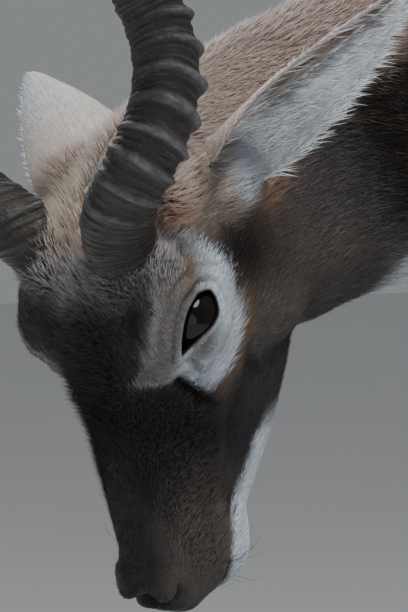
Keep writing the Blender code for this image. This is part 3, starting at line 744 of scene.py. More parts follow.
def cutAtHooves(flesh):
    bm = bmesh.new()
    bm.from_mesh(flesh.data)
    for (pair, side) in body["footSets"]:
        foot = legPath(pair, side)[-1][0]
        near = [v for v in bm.verts if v.co.z < 0.05 and (v.co.xy - foot.xy).length < 0.06]
        edges = [e for v in near for e in v.link_edges]
        geom = list(dict.fromkeys(near + edges + [g for v in near for g in v.link_faces]))
        normal = Vector((0, coronet["slope"], -1)).normalized()
        place = Vector((foot.x, foot.y, coronet["height"]))
        cut = bmesh.ops.bisect_plane(bm, geom=geom, plane_co=place, plane_no=normal, clear_outer=True)
        rim = [e for e in cut["geom_cut"] if isinstance(e, bmesh.types.BMEdge)]
        bmesh.ops.holes_fill(bm, edges=rim, sides=0)
    bm.to_mesh(flesh.data)
    bm.free()
    return flesh


horn = {
    "base": (27.7, -27.3, 34.0), "axis": (0.436, -0.823, 0.363), "facing": (0.77, 0, 0.64),
    "length": 455.0, "radius": 17.8, "tip": 2.6, "lean": 0.95, "sides": 56,
    "turns": 3.3, "phase": math.radians(171.0), "tighten": 0.2, "swing": 10.4, "swell": 0.22, "close": 0.7,
    "rings": 30, "stepsPerRing": 16, "stepsBelow": 14, "ringShare": 0.86, "ringDepth": 0.175, "fine": 0.045,
}
ears = {
    "length": 125.0, "wall": 1.2, "spine": 10.0, "inset": 0.4, "angleShare": 0.97,
    1: {
        "node": "ear_left", "root": (42.0, -77.0, -14.0), "axis": (0.75, -0.629, -0.203),
        "mouth": (0.66, 0.70, 0.26), "wide": 1.0,
    },
    -1: {
        "node": "ear_right", "root": (51.0, -61.7, -10.6), "axis": (0.846, -0.440, -0.300),
        "mouth": (0.114, 0.70, -0.704), "wide": 1.28,
    },
    # share of the length, radius of the cup's wall, half angle of the wall
    "stations": (
        (0.00, 16.0, 118), (0.10, 19.0, 100), (0.22, 21.5, 80), (0.38, 24.0, 64), (0.55, 22.0, 56),
        (0.72, 17.5, 51), (0.86, 11.5, 48), (0.95, 7.5, 46), (1.00, 3.5, 45),
    ),
    "around": 40,
}


def earFrame(side):
    spec = ears[side]
    axis = headDirection(*onSide(side, spec["axis"]))
    mouth = headDirection(*onSide(side, spec["mouth"]))
    back = -(mouth - axis * mouth.dot(axis)).normalized()
    return headPoint(*onSide(side, spec["root"])), axis, back, axis.cross(back) * spec["wide"]


# The coat's markings, shared by the skin and every tuft
coat = {
    "fawn": (0.345, 0.265, 0.228), "crown": (0.325, 0.272, 0.225), "cream": (0.72, 0.66, 0.58),
    # white is the hair's own white with a blue tint that is painted sky light
    "white": (0.62, 0.675, 0.74), "earWhite": (0.86, 0.90, 0.96), "shade": (0.15, 0.132, 0.118),
    "tan": (0.22, 0.135, 0.075), "rust": (0.33, 0.155, 0.09), "cheek": (0.098, 0.089, 0.083),
    "face": (0.057, 0.052, 0.054), "muzzle": (0.028, 0.026, 0.029), "muzzleSide": (0.098, 0.084, 0.074),
    "neck": (0.013, 0.0105, 0.0088), "back": (0.020, 0.0135, 0.0095), "bare": (0.010, 0.009, 0.009),
    "grizzle": (0.115, 0.090, 0.070), "frost": (0.40, 0.39, 0.40),
    # edge of the white ring: degrees round the eye from its front corner towards the brow, mm from its middle
    "ring": (
        (-180, 34), (-156, 27), (-122, 27), (-89, 29.5), (-60, 34), (-49, 36), (-32, 29.7), (-17, 27),
        (-2, 33), (10.6, 41.7), (18, 30), (41, 25), (75, 23), (109, 32.7), (120, 36.8), (142, 40),
        (165, 35), (180, 34),
    ),
    # on the head, how far forward the fawn of the crown comes: u, f
    "crownEdge": ((-60, -97), (-40, -76), (-28, -54), (-15, -41), (10, -31), (45, -21)),
    # on the neck, above which angle it is fawn: y, degrees
    "napeEdge": ((-0.60, 12), (-0.56, 32), (-0.45, 44), (-0.38, 52), (-0.30, 68), (-0.24, 95)),
    # below which angle the throat, chest and belly are white: y, degrees
    "bellyEdge": ((-0.51, -95), (-0.485, -44), (-0.30, -40), (-0.10, -34), (0.20, -34), (0.36, -20)),
}


def ripple(points, size):
    # a cheap uneven field, from -1 to 1, that waves about once per size in metres
    x, y, z = points.T * (2 * math.pi / size)
    waves = np.sin(x + 1.7 * np.sin(0.7 * y)) + np.sin(1.3 * y + 1.9 * np.sin(0.8 * z))
    return (waves + np.sin(1.1 * z + 2.1 * np.sin(0.9 * x))) / 3


def plain(name, count):
    return np.tile(np.array(coat[name]), (count, 1))


def blended(colour, *layers):
    # colours laid over each other: the name and how much of it at each point
    for name, amount in layers:
        colour = colour + (np.array(coat[name]) - colour) * np.clip(amount, 0, 1)[:, None]
    return colour


def trunkAngle(points):
    # degrees above the middle of the trunk or neck, from -90 below to 90 above
    rows = np.array(body["trunk"])[::-1]
    pick = [np.interp(points[:, 1], rows[:, 0], rows[:, k]) for k in (1, 3, 4, 5)]
    rise = points[:, 2] - pick[0]
    up = rise / np.where(rise > 0, pick[1], pick[2])
    return np.degrees(np.arctan2(up, np.abs(points[:, 0]) / pick[3]))


def markings(points):
    wave = ripple(points, 0.034) + 0.5 * ripple(points, 0.011)
    angle = trunkAngle(points) + 3.0 * wave
    y, z = points[:, 1], points[:, 2]
    l, f, u = headCoords(points)
    nape = np.interp(y, *np.array(coat["napeEdge"]).T)
    belly = np.interp(y, *np.array(coat["bellyEdge"]).T)
    # legs: white inside, dark outside and in front, paler down to the hooves
    onLeg = 1 - clamp(z, 0.46, 0.56)
    outer = clamp(np.abs(points[:, 0]) + 0.002 * wave, 0.066, 0.074)
    colour = blended(
        plain("back", len(points)),
        ("neck", clamp(y, -0.05, -0.27)),
        ("fawn", clamp(angle - nape, -7, 7)),
        ("white", clamp(belly - angle, -3, 3) * (1 - onLeg) + onLeg * (1 - outer)),
        ("tan", 0.45 * onLeg * outer * clamp(z, 0.30, 0.10)),
    )
    # head
    side = np.abs(l)
    g, v = f + 2.2 * wave, u + 2.2 * wave
    onHead = 1 - clamp(fromHead(points), 118, 140)
    crown = clamp(np.interp(u, *np.array(coat["crownEdge"]).T) - g, -4.5, 4.5)
    chin = 42 + 0.4 * np.maximum(0, 85 - f)
    face = blended(
        plain("face", len(points)),
        ("cheek", clamp(v, 6, -14) * clamp(side, 14, 28) * clamp(g, 56, 30) * clamp(g, -58, -26)),
        ("muzzle", clamp(g, 22, 52)),
        ("muzzleSide", clamp(g, 62, 96) * clamp(side, 9, 19) * clamp(v, 8, -8)),
        ("crown", crown),
        ("fawn", crown * clamp(g, -62, -90)),
        ("tan", 0.7 * bump(g, -66, 13) * bump(v, -33, 11)),
        ("white", clamp(-v, chin, chin + 4) * clamp(g, 40, 56)),
    )
    for s in (1, -1):
        a, b, o = eyeCoords(points, s)
        near = (o > -16) & (l * s > 0)
        rear = l * s > 20
        r = np.hypot(a, b) + 1.1 * wave
        turn = np.degrees(np.arctan2(b, a))
        edge = np.interp(turn, *np.array(coat["ring"]).T)
        edge = edge - (6.0 * bump(turn, 70, 55) if s < 0 else 0)
        earRoot = clamp(-55 - a, -2, 4) * clamp(b - 2.5, -2, 2) * clamp(a, -98, -84)
        earRoot *= clamp(np.minimum(6 + 2.0 * (-55 - a), 24) - b, -5, 3)
        toBrow = clamp(b + 0.45 * np.maximum(a - 5, 0), 2, 10) * clamp(a, -31, -17)
        fromEdge = np.full(len(points), 99.0)
        close = near & (r < 26) & (o > 4)
        fromEdge[close] = fromLids(a[close], b[close])
        face = blended(
            face,
            ("fawn", rear * 0.8 * patch(a + 70, b - 20, 26)),
            # cream by the ear's root: partly the pale hair there, partly painted light over the shadow
            # between the ear and the head
            ("cream", rear * 0.6 * patch(a + 72, b - 20, 16)),
            ("rust", rear * 0.5 * patch((a + 66) * 0.7, b + 4, 7)),
            ("white", rear * 0.96 * earRoot),
            ("tan", near * 0.9 * bump(r, edge + 3.5, 5.0) * bump(turn, -112, 52)),
            ("neck", near * 0.95 * patch(a + 40, (b + 8) * 0.8, 15)),
            ("rust", near * 0.9 * patch(a + 34, (b - 34) * 0.9, 7.2)),
            ("white", near * clamp(edge - r, -1.8, 1.8)),
            ("shade", near * 0.95 * patch((a - 8) * 0.5, b + 9.5, 5.6)),
            ("shade", near * 0.92 * toBrow * clamp(edge - r, -3, 3)),
            ("cheek", near * 0.92 * patch((a + 17) * 0.75, b - 25, 12.5)),
            ("tan", near * 0.8 * patch((a + 17) * 0.5, b - 15, 4.2)),
            ("bare", near * bump(fromGland(a, b)[0], 0, 3.2)),
            ("bare", 1 - clamp(fromEdge, 0.3, 1.3)),
        )
    # bare nose and the dark of the lips
    lips = bump(u, sculpt["mouth"]["height"] + 1, 1.6) * clamp(f, 76, 84) * onHead
    face = blended(face, ("bare", clamp(f, 131, 137) * clamp(u, -30, -22)), ("bare", lips))
    return colour + (face - colour) * onHead[:, None]


def lieOf(points):
    # which way the coat lies, before it is laid on the skin
    l, f, u = headCoords(points)
    s = np.sign(l + 1e-6)[:, None]
    headAxes = [np.array(axis) for axis in (headL, headF, headU)]
    back = np.tile(-headAxes[1], (len(points), 1))
    cheek = clamp(u, 0, -35)[:, None]
    crown = (clamp(f, -18, -48) * clamp(u, 46, 30))[:, None]
    tip = (clamp(f, 112, 132) * np.where(u > -32, 1.0, -1.0))[:, None]
    back = back + tip * headAxes[2] * 1.3
    onCrown = 0.75 * s * headAxes[0] - 0.55 * headAxes[2]
    onHead = back * (1 - 0.45 * crown) + cheek * (-0.45 * headAxes[2]) + crown * onCrown
    for k in (1, -1):
        a, b, o = eyeCoords(points, k)
        _, _, along, up = eyeFrame(k)
        r = np.hypot(a, b) + 1e-6
        w = np.where((o > 0) & (l * k > 0), 1.1 * (1 - clamp(r, 14, 36)), 0)[:, None]
        onHead = onHead + w * ((a / r)[:, None] * np.array(along) + (b / r)[:, None] * np.array(up))
    for k in (1, -1):
        base, axis, earBack, _ = earFrame(k)
        w = (1 - clamp(np.linalg.norm(points - np.array(base), axis=1) / mm, 18, 34))[:, None]
        onHead = onHead * (1 - w) + w * (np.array(axis) - 0.35 * np.array(earBack))
    w = clamp(fromHead(points), 100, 160)[:, None]
    neckWay = np.array((0.0, 0.93, 0.20))
    bodyWay = np.array((0.0, 1.0, -0.12))
    toBody = clamp(points[:, 1], -0.42, -0.20)[:, None]
    onBody = neckWay * (1 - toBody) + bodyWay * toBody
    angle = trunkAngle(points)
    onBody[:, 2] -= 0.55 * (1 - clamp(np.abs(angle), 20, 75))
    onBody[:, 2] -= 1.2 * clamp(points[:, 1], 0.30, 0.40)
    leg = (1 - clamp(points[:, 2], 0.40, 0.58))[:, None] * (points[:, 1] > -0.40)[:, None]
    onBody = onBody * (1 - leg) + leg * np.array((0.0, 0.15, -1.0))
    return onHead * (1 - w) + onBody * w


def coatSize(points):
    # a tuft's length and width in mm, how steeply it rises in degrees, tufts to a square mm
    l, f, u = headCoords(points)
    y, z = points[:, 1], points[:, 2]
    onHead = 1 - clamp(fromHead(points), 105, 150)
    onNeck = (1 - onHead) * clamp(y, -0.12, -0.28)
    changes = [
        (onNeck, (-2.5, -0.82, 1.0, 0.30)),
        (onHead, (-7.8, -1.12, 0.5, 0.95)),
        ((1 - clamp(z, 0.34, 0.52)) * (y > -0.40), (-7.5, -0.8, 0, 0.10)),
        (1 - clamp(z, 0.04, 0.12), (-1.5, 0, 0, 0)),
        # the muzzle, its tip and the crown
        (onHead * clamp(f, 20, 90), (-2.6, -0.12, 0, 0.45)),
        (onHead * clamp(f, 108, 128), (-1.6, 0, -6.0, 0)),
        (onHead * clamp(f, -20, -40) * clamp(u, -10, 15), (4.5, 0, 9.0, 0.35)),
    ]
    for s in (1, -1):
        a, b, o = eyeCoords(points, s)
        fromEye = np.where((o > 0) & (l * s > 0), np.hypot(a, b * 1.15), 99)
        axis = np.array(headDirection(*onSide(s, horn["axis"])))
        away = points - np.array(headPoint(*onSide(s, horn["base"])))
        fromHorn = np.linalg.norm(away - np.outer(away @ axis, axis), axis=1) / mm
        fromEar = np.linalg.norm(points - np.array(earFrame(s)[0]), axis=1) / mm
        changes += [
            (1 - clamp(fromEye, 14, 30), (-1.2, -0.14, 0, 0.7)),
            ((1 - clamp(fromEye, 38, 54)) * onHead, (-2.3, 0, 0, 0)),
            ((1 - clamp(fromHorn, 20, 30)) * onHead, (2.0, 0, 26, 0.3)),
            (1 - clamp(fromEar, 18, 36), (8.0, 0, 8.0, 0)),
        ]
    size = np.tile((14.0, 1.7, 14.0, 0.115), (len(points), 1))
    for where, change in changes:
        size += where[:, None] * np.array(change)
    return np.maximum(size[:, 0], 2.2), np.maximum(size[:, 1], 0.38), size[:, 2], size[:, 3]


def bareSpots(points):
    # true where no hair grows: the nose, the nostrils, the slit of the mouth and the lids' edges
    l, f, u = headCoords(points)
    bare = (f > 134) & (u > -26)
    bare |= (f > 118) & (np.abs(u - sculpt["mouth"]["height"] - 1.5) < 1.6)
    for s in (1, -1):
        a, b, o = eyeCoords(points, s)
        near = (o > 2) & (np.hypot(a, b) < 22) & (l * s > 0)
        bare[near] |= fromLids(a[near], b[near]) < 1.7
        x, y, curl = nostrilCoords(l, f, u, s)
        bare |= (np.abs(x) < 14) & (np.hypot(y / 8.5, curl / 3.4) < 1) & (f > 118)
    return bare


def surfaceOf(mesh):
    # corners and normals of every triangle
    mesh.calc_loop_triangles()
    index = np.empty(len(mesh.loop_triangles) * 3, dtype=np.int64)
    mesh.loop_triangles.foreach_get("vertices", index)
    index = index.reshape(-1, 3)
    return coordsOf(mesh)[index], normalsOf(mesh)[index], index


def scattered(corners, normals, dense):
    # roots and normals spread at random over the triangles
    area = np.linalg.norm(np.cross(corners[:, 1] - corners[:, 0], corners[:, 2] - corners[:, 0]), axis=1) / 2
    count = dice.poisson(area / mm ** 2 * dense)
    pick = np.repeat(np.arange(len(area)), count)
    p, q = dice.random(len(pick)), dice.random(len(pick))
    flip = p + q > 1
    p[flip], q[flip] = 1 - p[flip], 1 - q[flip]
    share = np.stack([1 - p - q, p, q], 1)[:, :, None]
    roots = (corners[pick] * share).sum(1)
    ways = (normals[pick] * share).sum(1)
    return roots, unit(ways)


def unit(vectors):
    return vectors / np.maximum(np.linalg.norm(vectors, axis=1, keepdims=True), 1e-9)


def giveAttribute(mesh, name, values):
    # coatColour is given as rgb, anything else is a vector
    kind, field = ("FLOAT_COLOR", "color") if name == "coatColour" else ("FLOAT_VECTOR", "vector")
    if name == "coatColour":
        values = np.concatenate([values, np.ones((len(values), 1))], 1)
    layer = mesh.attributes.new(name, kind, "POINT")
    layer.data.foreach_set(field, values.reshape(-1).astype(np.float32))


# spread in degrees, jitter and sunk in metres, uvSize of the map, the rest as shares of a tuft's own size
tuft = {
    "spread": 12.0, "jitter": 0.0012, "sunk": 0.0006, "sunkShare": 0.09, "keel": 0.34, "bentRise": 0.25,
    "bentWidth": 0.72, "rootTone": 0.82, "middleTone": 1.02, "tipTone": 1.18, "uneven": 0.16, "uvSize": 0.003,
}


def makeTufts(name, roots, normals, lies, size, colours, unwrap, slot, bent=False):
    # every tuft is a thin closed blade: three corners at each station and a tip
    length, width, rise = size
    count = len(roots)
    across = unit(np.cross(normals, lies))
    flat = unit(np.cross(across, normals))
    turn = np.radians(dice.normal(0, tuft["spread"], count))[:, None]
    flat = flat * np.cos(turn) + across * np.sin(turn)
    across = unit(np.cross(normals, flat))
    length = (length * dice.uniform(0.7, 1.25, count) * mm)[:, None]
    width = (width * dice.uniform(0.75, 1.2, count) * mm)[:, None]
    rise = np.radians(rise * dice.uniform(0.6, 1.45, count))[:, None]
    steps = 2 if bent else 1
    rings, spot = [], roots - normals * np.minimum(tuft["sunk"], tuft["sunkShare"] * length)
    for k in range(steps):
        tilt = rise * (tuft["bentRise"] if k else 1.0)
        wide = width * (tuft["bentWidth"] if k else 1.0)
        way = flat * np.cos(tilt) + normals * np.sin(tilt)
        half, keel = across * wide * 0.5, np.cross(way, across) * wide * tuft["keel"]
        rings += [spot - half, spot + half, spot - keel]
        spot = spot + way * length / steps
    corners = np.stack(rings + [spot], 1)
    per = corners.shape[1]
    faces = [(0, 1, 2)]
    for k in range(steps - 1):
        for i, j in ((0, 1), (1, 2), (2, 0)):
            faces += [(3 * k + i, 3 * k + 3 + i, 3 * k + 3 + j), (3 * k + i, 3 * k + 3 + j, 3 * k + j)]
    last = 3 * (steps - 1)
    faces += [(last, per - 1, last + 1), (last + 1, per - 1, last + 2), (last + 2, per - 1, last)]
    faces = np.array(faces)
    sample = corners[0]
    sides = faces[-1]
    out = np.cross(sample[sides[1]] - sample[sides[0]], sample[sides[2]] - sample[sides[0]])
    if out @ (sample[sides].mean(0) - sample[last:last + 3].mean(0)) < 0:
        faces = faces[:, ::-1]
    index = (faces[None] + (np.arange(count) * per)[:, None, None]).reshape(-1)
    mesh = bpy.data.meshes.new(name)
    mesh.vertices.add(count * per)
    mesh.vertices.foreach_set("co", corners.reshape(-1))
    mesh.loops.add(len(index))
    mesh.loops.foreach_set("vertex_index", index.astype(np.int32))
    mesh.polygons.add(len(index) // 3)
    mesh.polygons.foreach_set("loop_start", np.arange(0, len(index), 3, dtype=np.int32))
    shade = np.repeat([tuft["rootTone"], tuft["middleTone"], tuft["tipTone"]], (3, 3 * (steps - 1), 1))
    tone = (dice.lognormal(0, tuft["uneven"], count)[:, None] * shade[None])[:, :, None]
    giveAttribute(mesh, "coatColour", np.clip(colours[:, None] * tone, 0, 1).reshape(-1, 3))
    place = np.array([(0, 0), (1, 0), (0.5, 0.3)] * steps + [(0.5, 1)]) * tuft["uvSize"]
    place[3:-1, 1] += tuft["uvSize"] / 2
    spots = np.clip(unwrap, 0.002, 0.995)[:, None] + place[None]
    uv = mesh.uv_layers.new(name="OFBake")
    uv.data.foreach_set("uv", spots.reshape(-1, 2)[index].reshape(-1).astype(np.float32))
    mesh.update(calc_edges=True)
    mesh.validate()
    addPiece(name, mesh, hairFinish, smooth=False)


def grizzled(colours, amount):
    # some dark hairs are tipped with grey
    dark = 1 - clamp(colours.mean(1), 0.10, 0.2)
    pick = dice.random(len(colours)) < amount * dark
    paler = (np.array(coat["grizzle"]) - colours) * dice.uniform(0.15, 0.6, (len(colours), 1))
    return np.where(pick[:, None], colours + paler, colours)


print("skin")
flesh = cutAtHooves(opened(sculpted(detailed(makeSkin()))))
print("skin triangles", triangleCount(flesh))


def paint(mesh, points, rgb):
    # the skin is a little darker than the hair over it, as painted shade between the hairs, and its grain
    # follows the lie of the coat
    giveAttribute(mesh, "coatColour", rgb)
    lie = unit(lieOf(points))
    local = points - np.array(headMid)
    along = (local * lie).sum(1, keepdims=True)
    giveAttribute(mesh, "grain", local - 0.9 * along * lie)


def coatLook():
    hair = attribute("coatColour")
    fine = noise(attribute("grain", 1), 1500.0, 3.0, 0.6)
    broad = noise(objectCoords(), 55.0, 3.0, 0.6)
    colour = mixColour(0.7, hair, mixColour(1.0, hair, noise(attribute("grain", 1), 900.0) * 1.1, "MULTIPLY"))
    return {"Base Color": colour, "Roughness": 0.62 + 0.2 * broad, "height": fine, "depth": 0.0006}


def tuftLook():
    hair = attribute("coatColour")
    broad = noise(objectCoords(), 70.0, 3.0, 0.6)
    colour = mixColour(0.45, hair, mixColour(1.0, hair, broad * 1.7, "MULTIPLY"))
    return {"Base Color": colour, "Roughness": 0.50 + 0.2 * broad}


skinFinish = finishNamed("coat_skin", coatLook, Specular_IOR_Level=0.2)
hairFinish = finishNamed("coat_hair", tuftLook, Specular_IOR_Level=0.13)
skinMesh = flesh.data
bpy.data.objects.remove(flesh)
skinPoints = coordsOf(skinMesh)
# the skin takes the coat's colours, darkened by painted shade from the hair over it
paint(skinMesh, skinPoints, markings(skinPoints) * skinSettings["shade"])
corners, cornerNormals, _ = surfaceOf(skinMesh)
middle = corners.mean(1)
dense = coatSize(middle)[3]
inSocket = np.zeros(len(middle), dtype=bool)
for side in (1, -1):
    centre = np.array(eyeFrame(side)[0])
    inSocket |= np.linalg.norm(middle - centre, axis=1) < lids["eyeRadius"] * mm * lids["bareShare"]
dense = np.where(bareSpots(middle) | inSocket | (middle[:, 2] < coronet["hairDownTo"]), 0, dense)
fleshNodes = [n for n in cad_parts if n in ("head", "neck", "torso") or n.startswith("leg_")]
addPiece("skin", skinMesh, skinFinish, fleshNodes)

print("coat")
roots, rootNormals = scattered(corners, cornerNormals, dense)
lies = lieOf(roots)
length, width, rise, _ = coatSize(roots)
jitter = dice.normal(0, tuft["jitter"], roots.shape)
l, f, u = headCoords(roots)
byHorns = (1 - clamp(np.hypot(f + 21, (np.abs(l) - 12) * 0.5), 11, 27)) * (u > 18)
onMuzzle = clamp(f, 25, 55) * (fromHead(roots) < 130)
colours = markings(roots + jitter)
paler = (byHorns * (colours.mean(1) < 0.2) * dice.uniform(0.2, 1.0, len(roots)))[:, None]
greyed = 0.34 - 0.30 * onMuzzle - 0.20 * clamp(fromHead(roots), 90, 140)
colours = grizzled(colours + (np.array(coat["frost"]) - colours) * paler, greyed)


def turnShare(x, y):
    return clamp(np.arctan2(x, y), -math.pi, math.pi)


def roundTrunk(points):
    # unwrap round the trunk and neck: along it, then round it
    return np.stack([clamp(points[:, 1], -0.66, 0.44), turnShare(points[:, 0], points[:, 2] - 0.6)], 1)


def roundHead(points):
    l, f, u = headCoords(points)
    return np.stack([clamp(f, -190, 145), turnShare(l, u + 20)], 1)


def roundLegs(points):
    # the four legs side by side, each unwrapped round its own upright
    x, y, z = points.T
    turn = turnShare(np.abs(x) - 0.07, y - np.where(y < 0, -0.22, 0.27))
    column = (x > 0) * 0.25 + (y > 0) * 0.5
    return np.stack([column + turn * 0.24, clamp(z, 0.0, 0.62)], 1)


# where the coat's pieces meet: head and muzzle in mm on the head, the rest in metres
seams = {"head": 122, "muzzle": 34, "neck": -0.27, "neckLow": 0.42, "leg": 0.46}
left = roots[:, 0] > 0
isHead = fromHead(roots) < seams["head"]
isMuzzle = isHead & (f > seams["muzzle"])
isNeck = ~isHead & (roots[:, 1] < seams["neck"]) & (roots[:, 2] > seams["neckLow"])
isLeg = ~isHead & ~isNeck & (roots[:, 2] < seams["leg"])
isBody = ~(isHead | isNeck | isLeg)
regions = {
    "coatMuzzle": (isMuzzle, roundHead), "coatHead": (isHead & ~isMuzzle, roundHead),
    "coatNeck": (isNeck, roundTrunk), "coatBody": (isBody, roundTrunk), "coatLegs": (isLeg, roundLegs),
}
for name, (mask, unwrap) in regions.items():
    halves = {"": mask} if name == "coatMuzzle" else {"Left": mask & left, "Right": mask & ~left}
    for half, some in halves.items():
        print(name + half, int(some.sum()))
        size = (length[some], width[some], rise[some])
        grown = (roots[some], rootNormals[some], lies[some], size, colours[some], unwrap(roots[some]))
        makeTufts(name + half, *grown, "dark_coat")

# Whiskers
whiskers = {"count": 32, "length": 17.0, "width": 0.34, "rise": 42.0}
some = np.flatnonzero(isHead & (f > 92) & (f < 132) & (u < 2) & (np.abs(l) > 6))
some = dice.permutation(some)[:whiskers["count"]]
size = [whiskers[key] for key in ("length", "width", "rise")]
grown = (roots[some], rootNormals[some], lies[some], size, plain("bare", len(some)), roundHead(roots[some]))
makeTufts("whiskers", *grown, "dark_coat", True)

# Hooves
print("hooves")


def clawLook():
    grain = noise(objectCoords(), 170.0, 5.0, 0.6)
    growth = noise(objectCoords(), 330.0, 4.0, 0.6, (0.10, 0.10, 1.0))
    dull = mixColour(between(growth, 0.35, 0.7), (0.012, 0.010, 0.009), (0.036, 0.030, 0.026))
    colour = mixColour(between(grain, 0.50, 0.75), dull, (0.060, 0.052, 0.046))
    height = 0.5 * grain + growth
    return {"Base Color": colour, "Roughness": 0.36 + 0.32 * grain, "height": height, "depth": 0.0009}


clawFinish = finishNamed("claw_keratin", clawLook)
for name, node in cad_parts.items():
    if name.startswith("claw"):
        node.data.materials.clear()
        node.data.materials.append(clawFinish)


# Horns
def hornPath(t, side):
    axis = headDirection(*onSide(side, horn["axis"]))
    first = (headL * side - axis * axis.dot(headL * side)).normalized()
    second = axis.cross(first) * side

    def coil(share):
        wound = share * (1 - horn["tighten"] + horn["tighten"] * share)
        turn = horn["phase"] + 2 * math.pi * horn["turns"] * wound
        swell = 1 + horn["swell"] * math.sin(math.pi * share ** 2)
        reach = horn["swing"] * swell * (1 - horn["close"] * share ** 3)
        return (first * math.cos(turn) + second * math.sin(turn)) * reach

    base = headPoint(*onSide(side, horn["base"]))
    return base + (axis * (horn["length"] * t) + coil(t) - coil(0)) * mm


def makeHorn(side):
    bm = bmesh.new()
    layers = [bm.verts.layers.float.new("ridge"), bm.verts.layers.float_vector.new("hornPlace")]
    steps = int(horn["rings"] * horn["stepsPerRing"] / horn["ringShare"])
    facing = headDirection(*onSide(side, horn["facing"]))
    axis = headDirection(*onSide(side, horn["axis"]))
    wander = np.cumsum(dice.normal(0, 0.035, steps + 1))

    def offAxis(t):
        return hornPath(t, side) - hornPath(0, side) - axis * (horn["length"] * t * mm)

    rings = []
    for k in range(-horn["stepsBelow"], steps + 1):
        t = k / steps
        at = max(t, 0.0)
        along = (hornPath(at + 0.002, side) - hornPath(at, side)).normalized()
        centre = hornPath(at, side) + along * (min(t, 0.0) * horn["length"] * mm)
        outward = (offAxis(at) - offAxis(0.15) * 0.5).normalized()
        across = along.cross(headU).normalized()
        upward = across.cross(along)
        plain = horn["tip"] + (horn["radius"] - horn["tip"]) * (1 - at ** 1.7) ** 0.9
        if t > 0.985:
            plain *= math.sqrt(max(0.02, 1 - ((t - 0.985) / 0.015) ** 2))
        fade = float(clamp(horn["ringShare"] - t, 0.0, 0.12) * (0.22 + 0.78 * clamp(at, 0.05, 0.17)))
        phase = 2 * math.pi * horn["rings"] * at / horn["ringShare"] + 1.3 * wander[max(k, 0)]
        ridge = (0.5 + 0.5 * math.cos(phase + 0.5 * math.sin(phase))) ** 2.0
        fine = 0.5 + 0.5 * math.cos(phase * (3.6 - 0.6 * at) + 0.9)
        tilt = horn["lean"] * (1 - 0.6 * float(clamp(at, 0.05, 0.45)))
        ring = []
        for j in range(horn["sides"]):
            turn = 2 * math.pi * j / horn["sides"]
            way = across * math.cos(turn) + upward * math.sin(turn)
            strong = 0.62 + 0.5 * way.dot(outward)
            wear = 1 + 0.22 * math.sin(2 * turn + 17 * at) + 0.12 * math.sin(5 * turn - 61 * at)
            relief = horn["ringDepth"] * fade * (strong * wear * ridge - 0.45)
            relief += horn["fine"] * (1 - 0.35 * fade) * (fine - 1) * wear
            radius = plain * (1 + relief) * mm
            spot = bm.verts.new(centre + way * radius + along * (tilt * plain * mm * way.dot(facing)))
            spot[layers[0]] = ridge * fade * strong + 0.25 * fine
            flatX, flatY = plain * mm * math.cos(turn), plain * mm * math.sin(turn)
            spot[layers[1]] = (flatX, flatY, t * horn["length"] * mm)
            ring.append(spot)
        rings.append(ring)
    closeTube(bm, rings)
    return bm


def hornLook():
    place = attribute("hornPlace", 1)
    ridge = attribute("ridge", 2)
    grain = noise(objectCoords(), 210.0, 6.0, 0.62)
    fibre = noise(place, 520.0, 4.0, 0.6, (1, 1, 0.12))
    lines = noise(place, 420.0, 4.0, 0.6, (0.16, 0.16, 1.0))
    blotch = noise(objectCoords(), 34.0, 4.0, 0.6)
    # low is the horn's own dark keratin with its blotches; high, on the ridges and fine lines, is lighter and
    # bluish as painted highlight, so the grooves between stay darker as painted shade
    low = mixColour(between(blotch, 0.35, 0.7), (0.011, 0.0085, 0.007), (0.022, 0.018, 0.014))
    high = mixColour(between(grain, 0.3, 0.7), (0.038, 0.037, 0.037), (0.105, 0.106, 0.116))
    raised = 0.9 * ridge + 1.2 * (lines - 0.5) + 0.4 * (grain - 0.5)
    colour = mixColour(between(raised, 0.15, 0.95), low, high)
    height = 0.5 * grain + 0.4 * fibre + 1.4 * lines
    return {"Base Color": colour, "Roughness": 0.36 + 0.32 * grain, "height": height, "depth": 0.0022}


print("horns")
hornFinish = finishNamed("horn_keratin", hornLook, Specular_IOR_Level=0.27)
for side, name, node in ((1, "hornLeft", "horn_left"), (-1, "hornRight", "horn_right")):
    addPiece(name, meshOf(makeHorn(side), name), hornFinish, [node])

# Eyes
# radii in mm round the middle of the cornea
eye = {"cornea": 12.0, "bulge": 0.9, "pupil": (7.5, 3.6), "irisEdge": (10.2, 12.2), "whiteFrom": (15.0, 17.5)}


def makeEye(side):
    centre, out, along, up = eyeFrame(side)
    bm = bmesh.new()
    turn = Matrix((along, up * side, out)).transposed().to_4x4()
    radius = lids["eyeRadius"] * mm * lids["eyeShare"]
    place = Matrix.Translation(centre) @ turn
    bmesh.ops.create_uvsphere(bm, u_segments=96, v_segments=64, radius=radius, matrix=place)
    layers = [bm.verts.layers.float.new(n) for n in ("eyeAlong", "eyeUp", "eyeOut")]
    for v in bm.verts:
        away = (v.co - centre) / mm
        a, b, o = away.dot(along), away.dot(up), away.dot(out)
        for layer, value in zip(layers, (a, b, o)):
            v[layer] = value
        r = math.hypot(a, b)
        if o > 0 and r < eye["cornea"]:
            v.co += out * (eye["bulge"] * mm * (1 - (r / eye["cornea"]) ** 2) ** 2)
    return bm


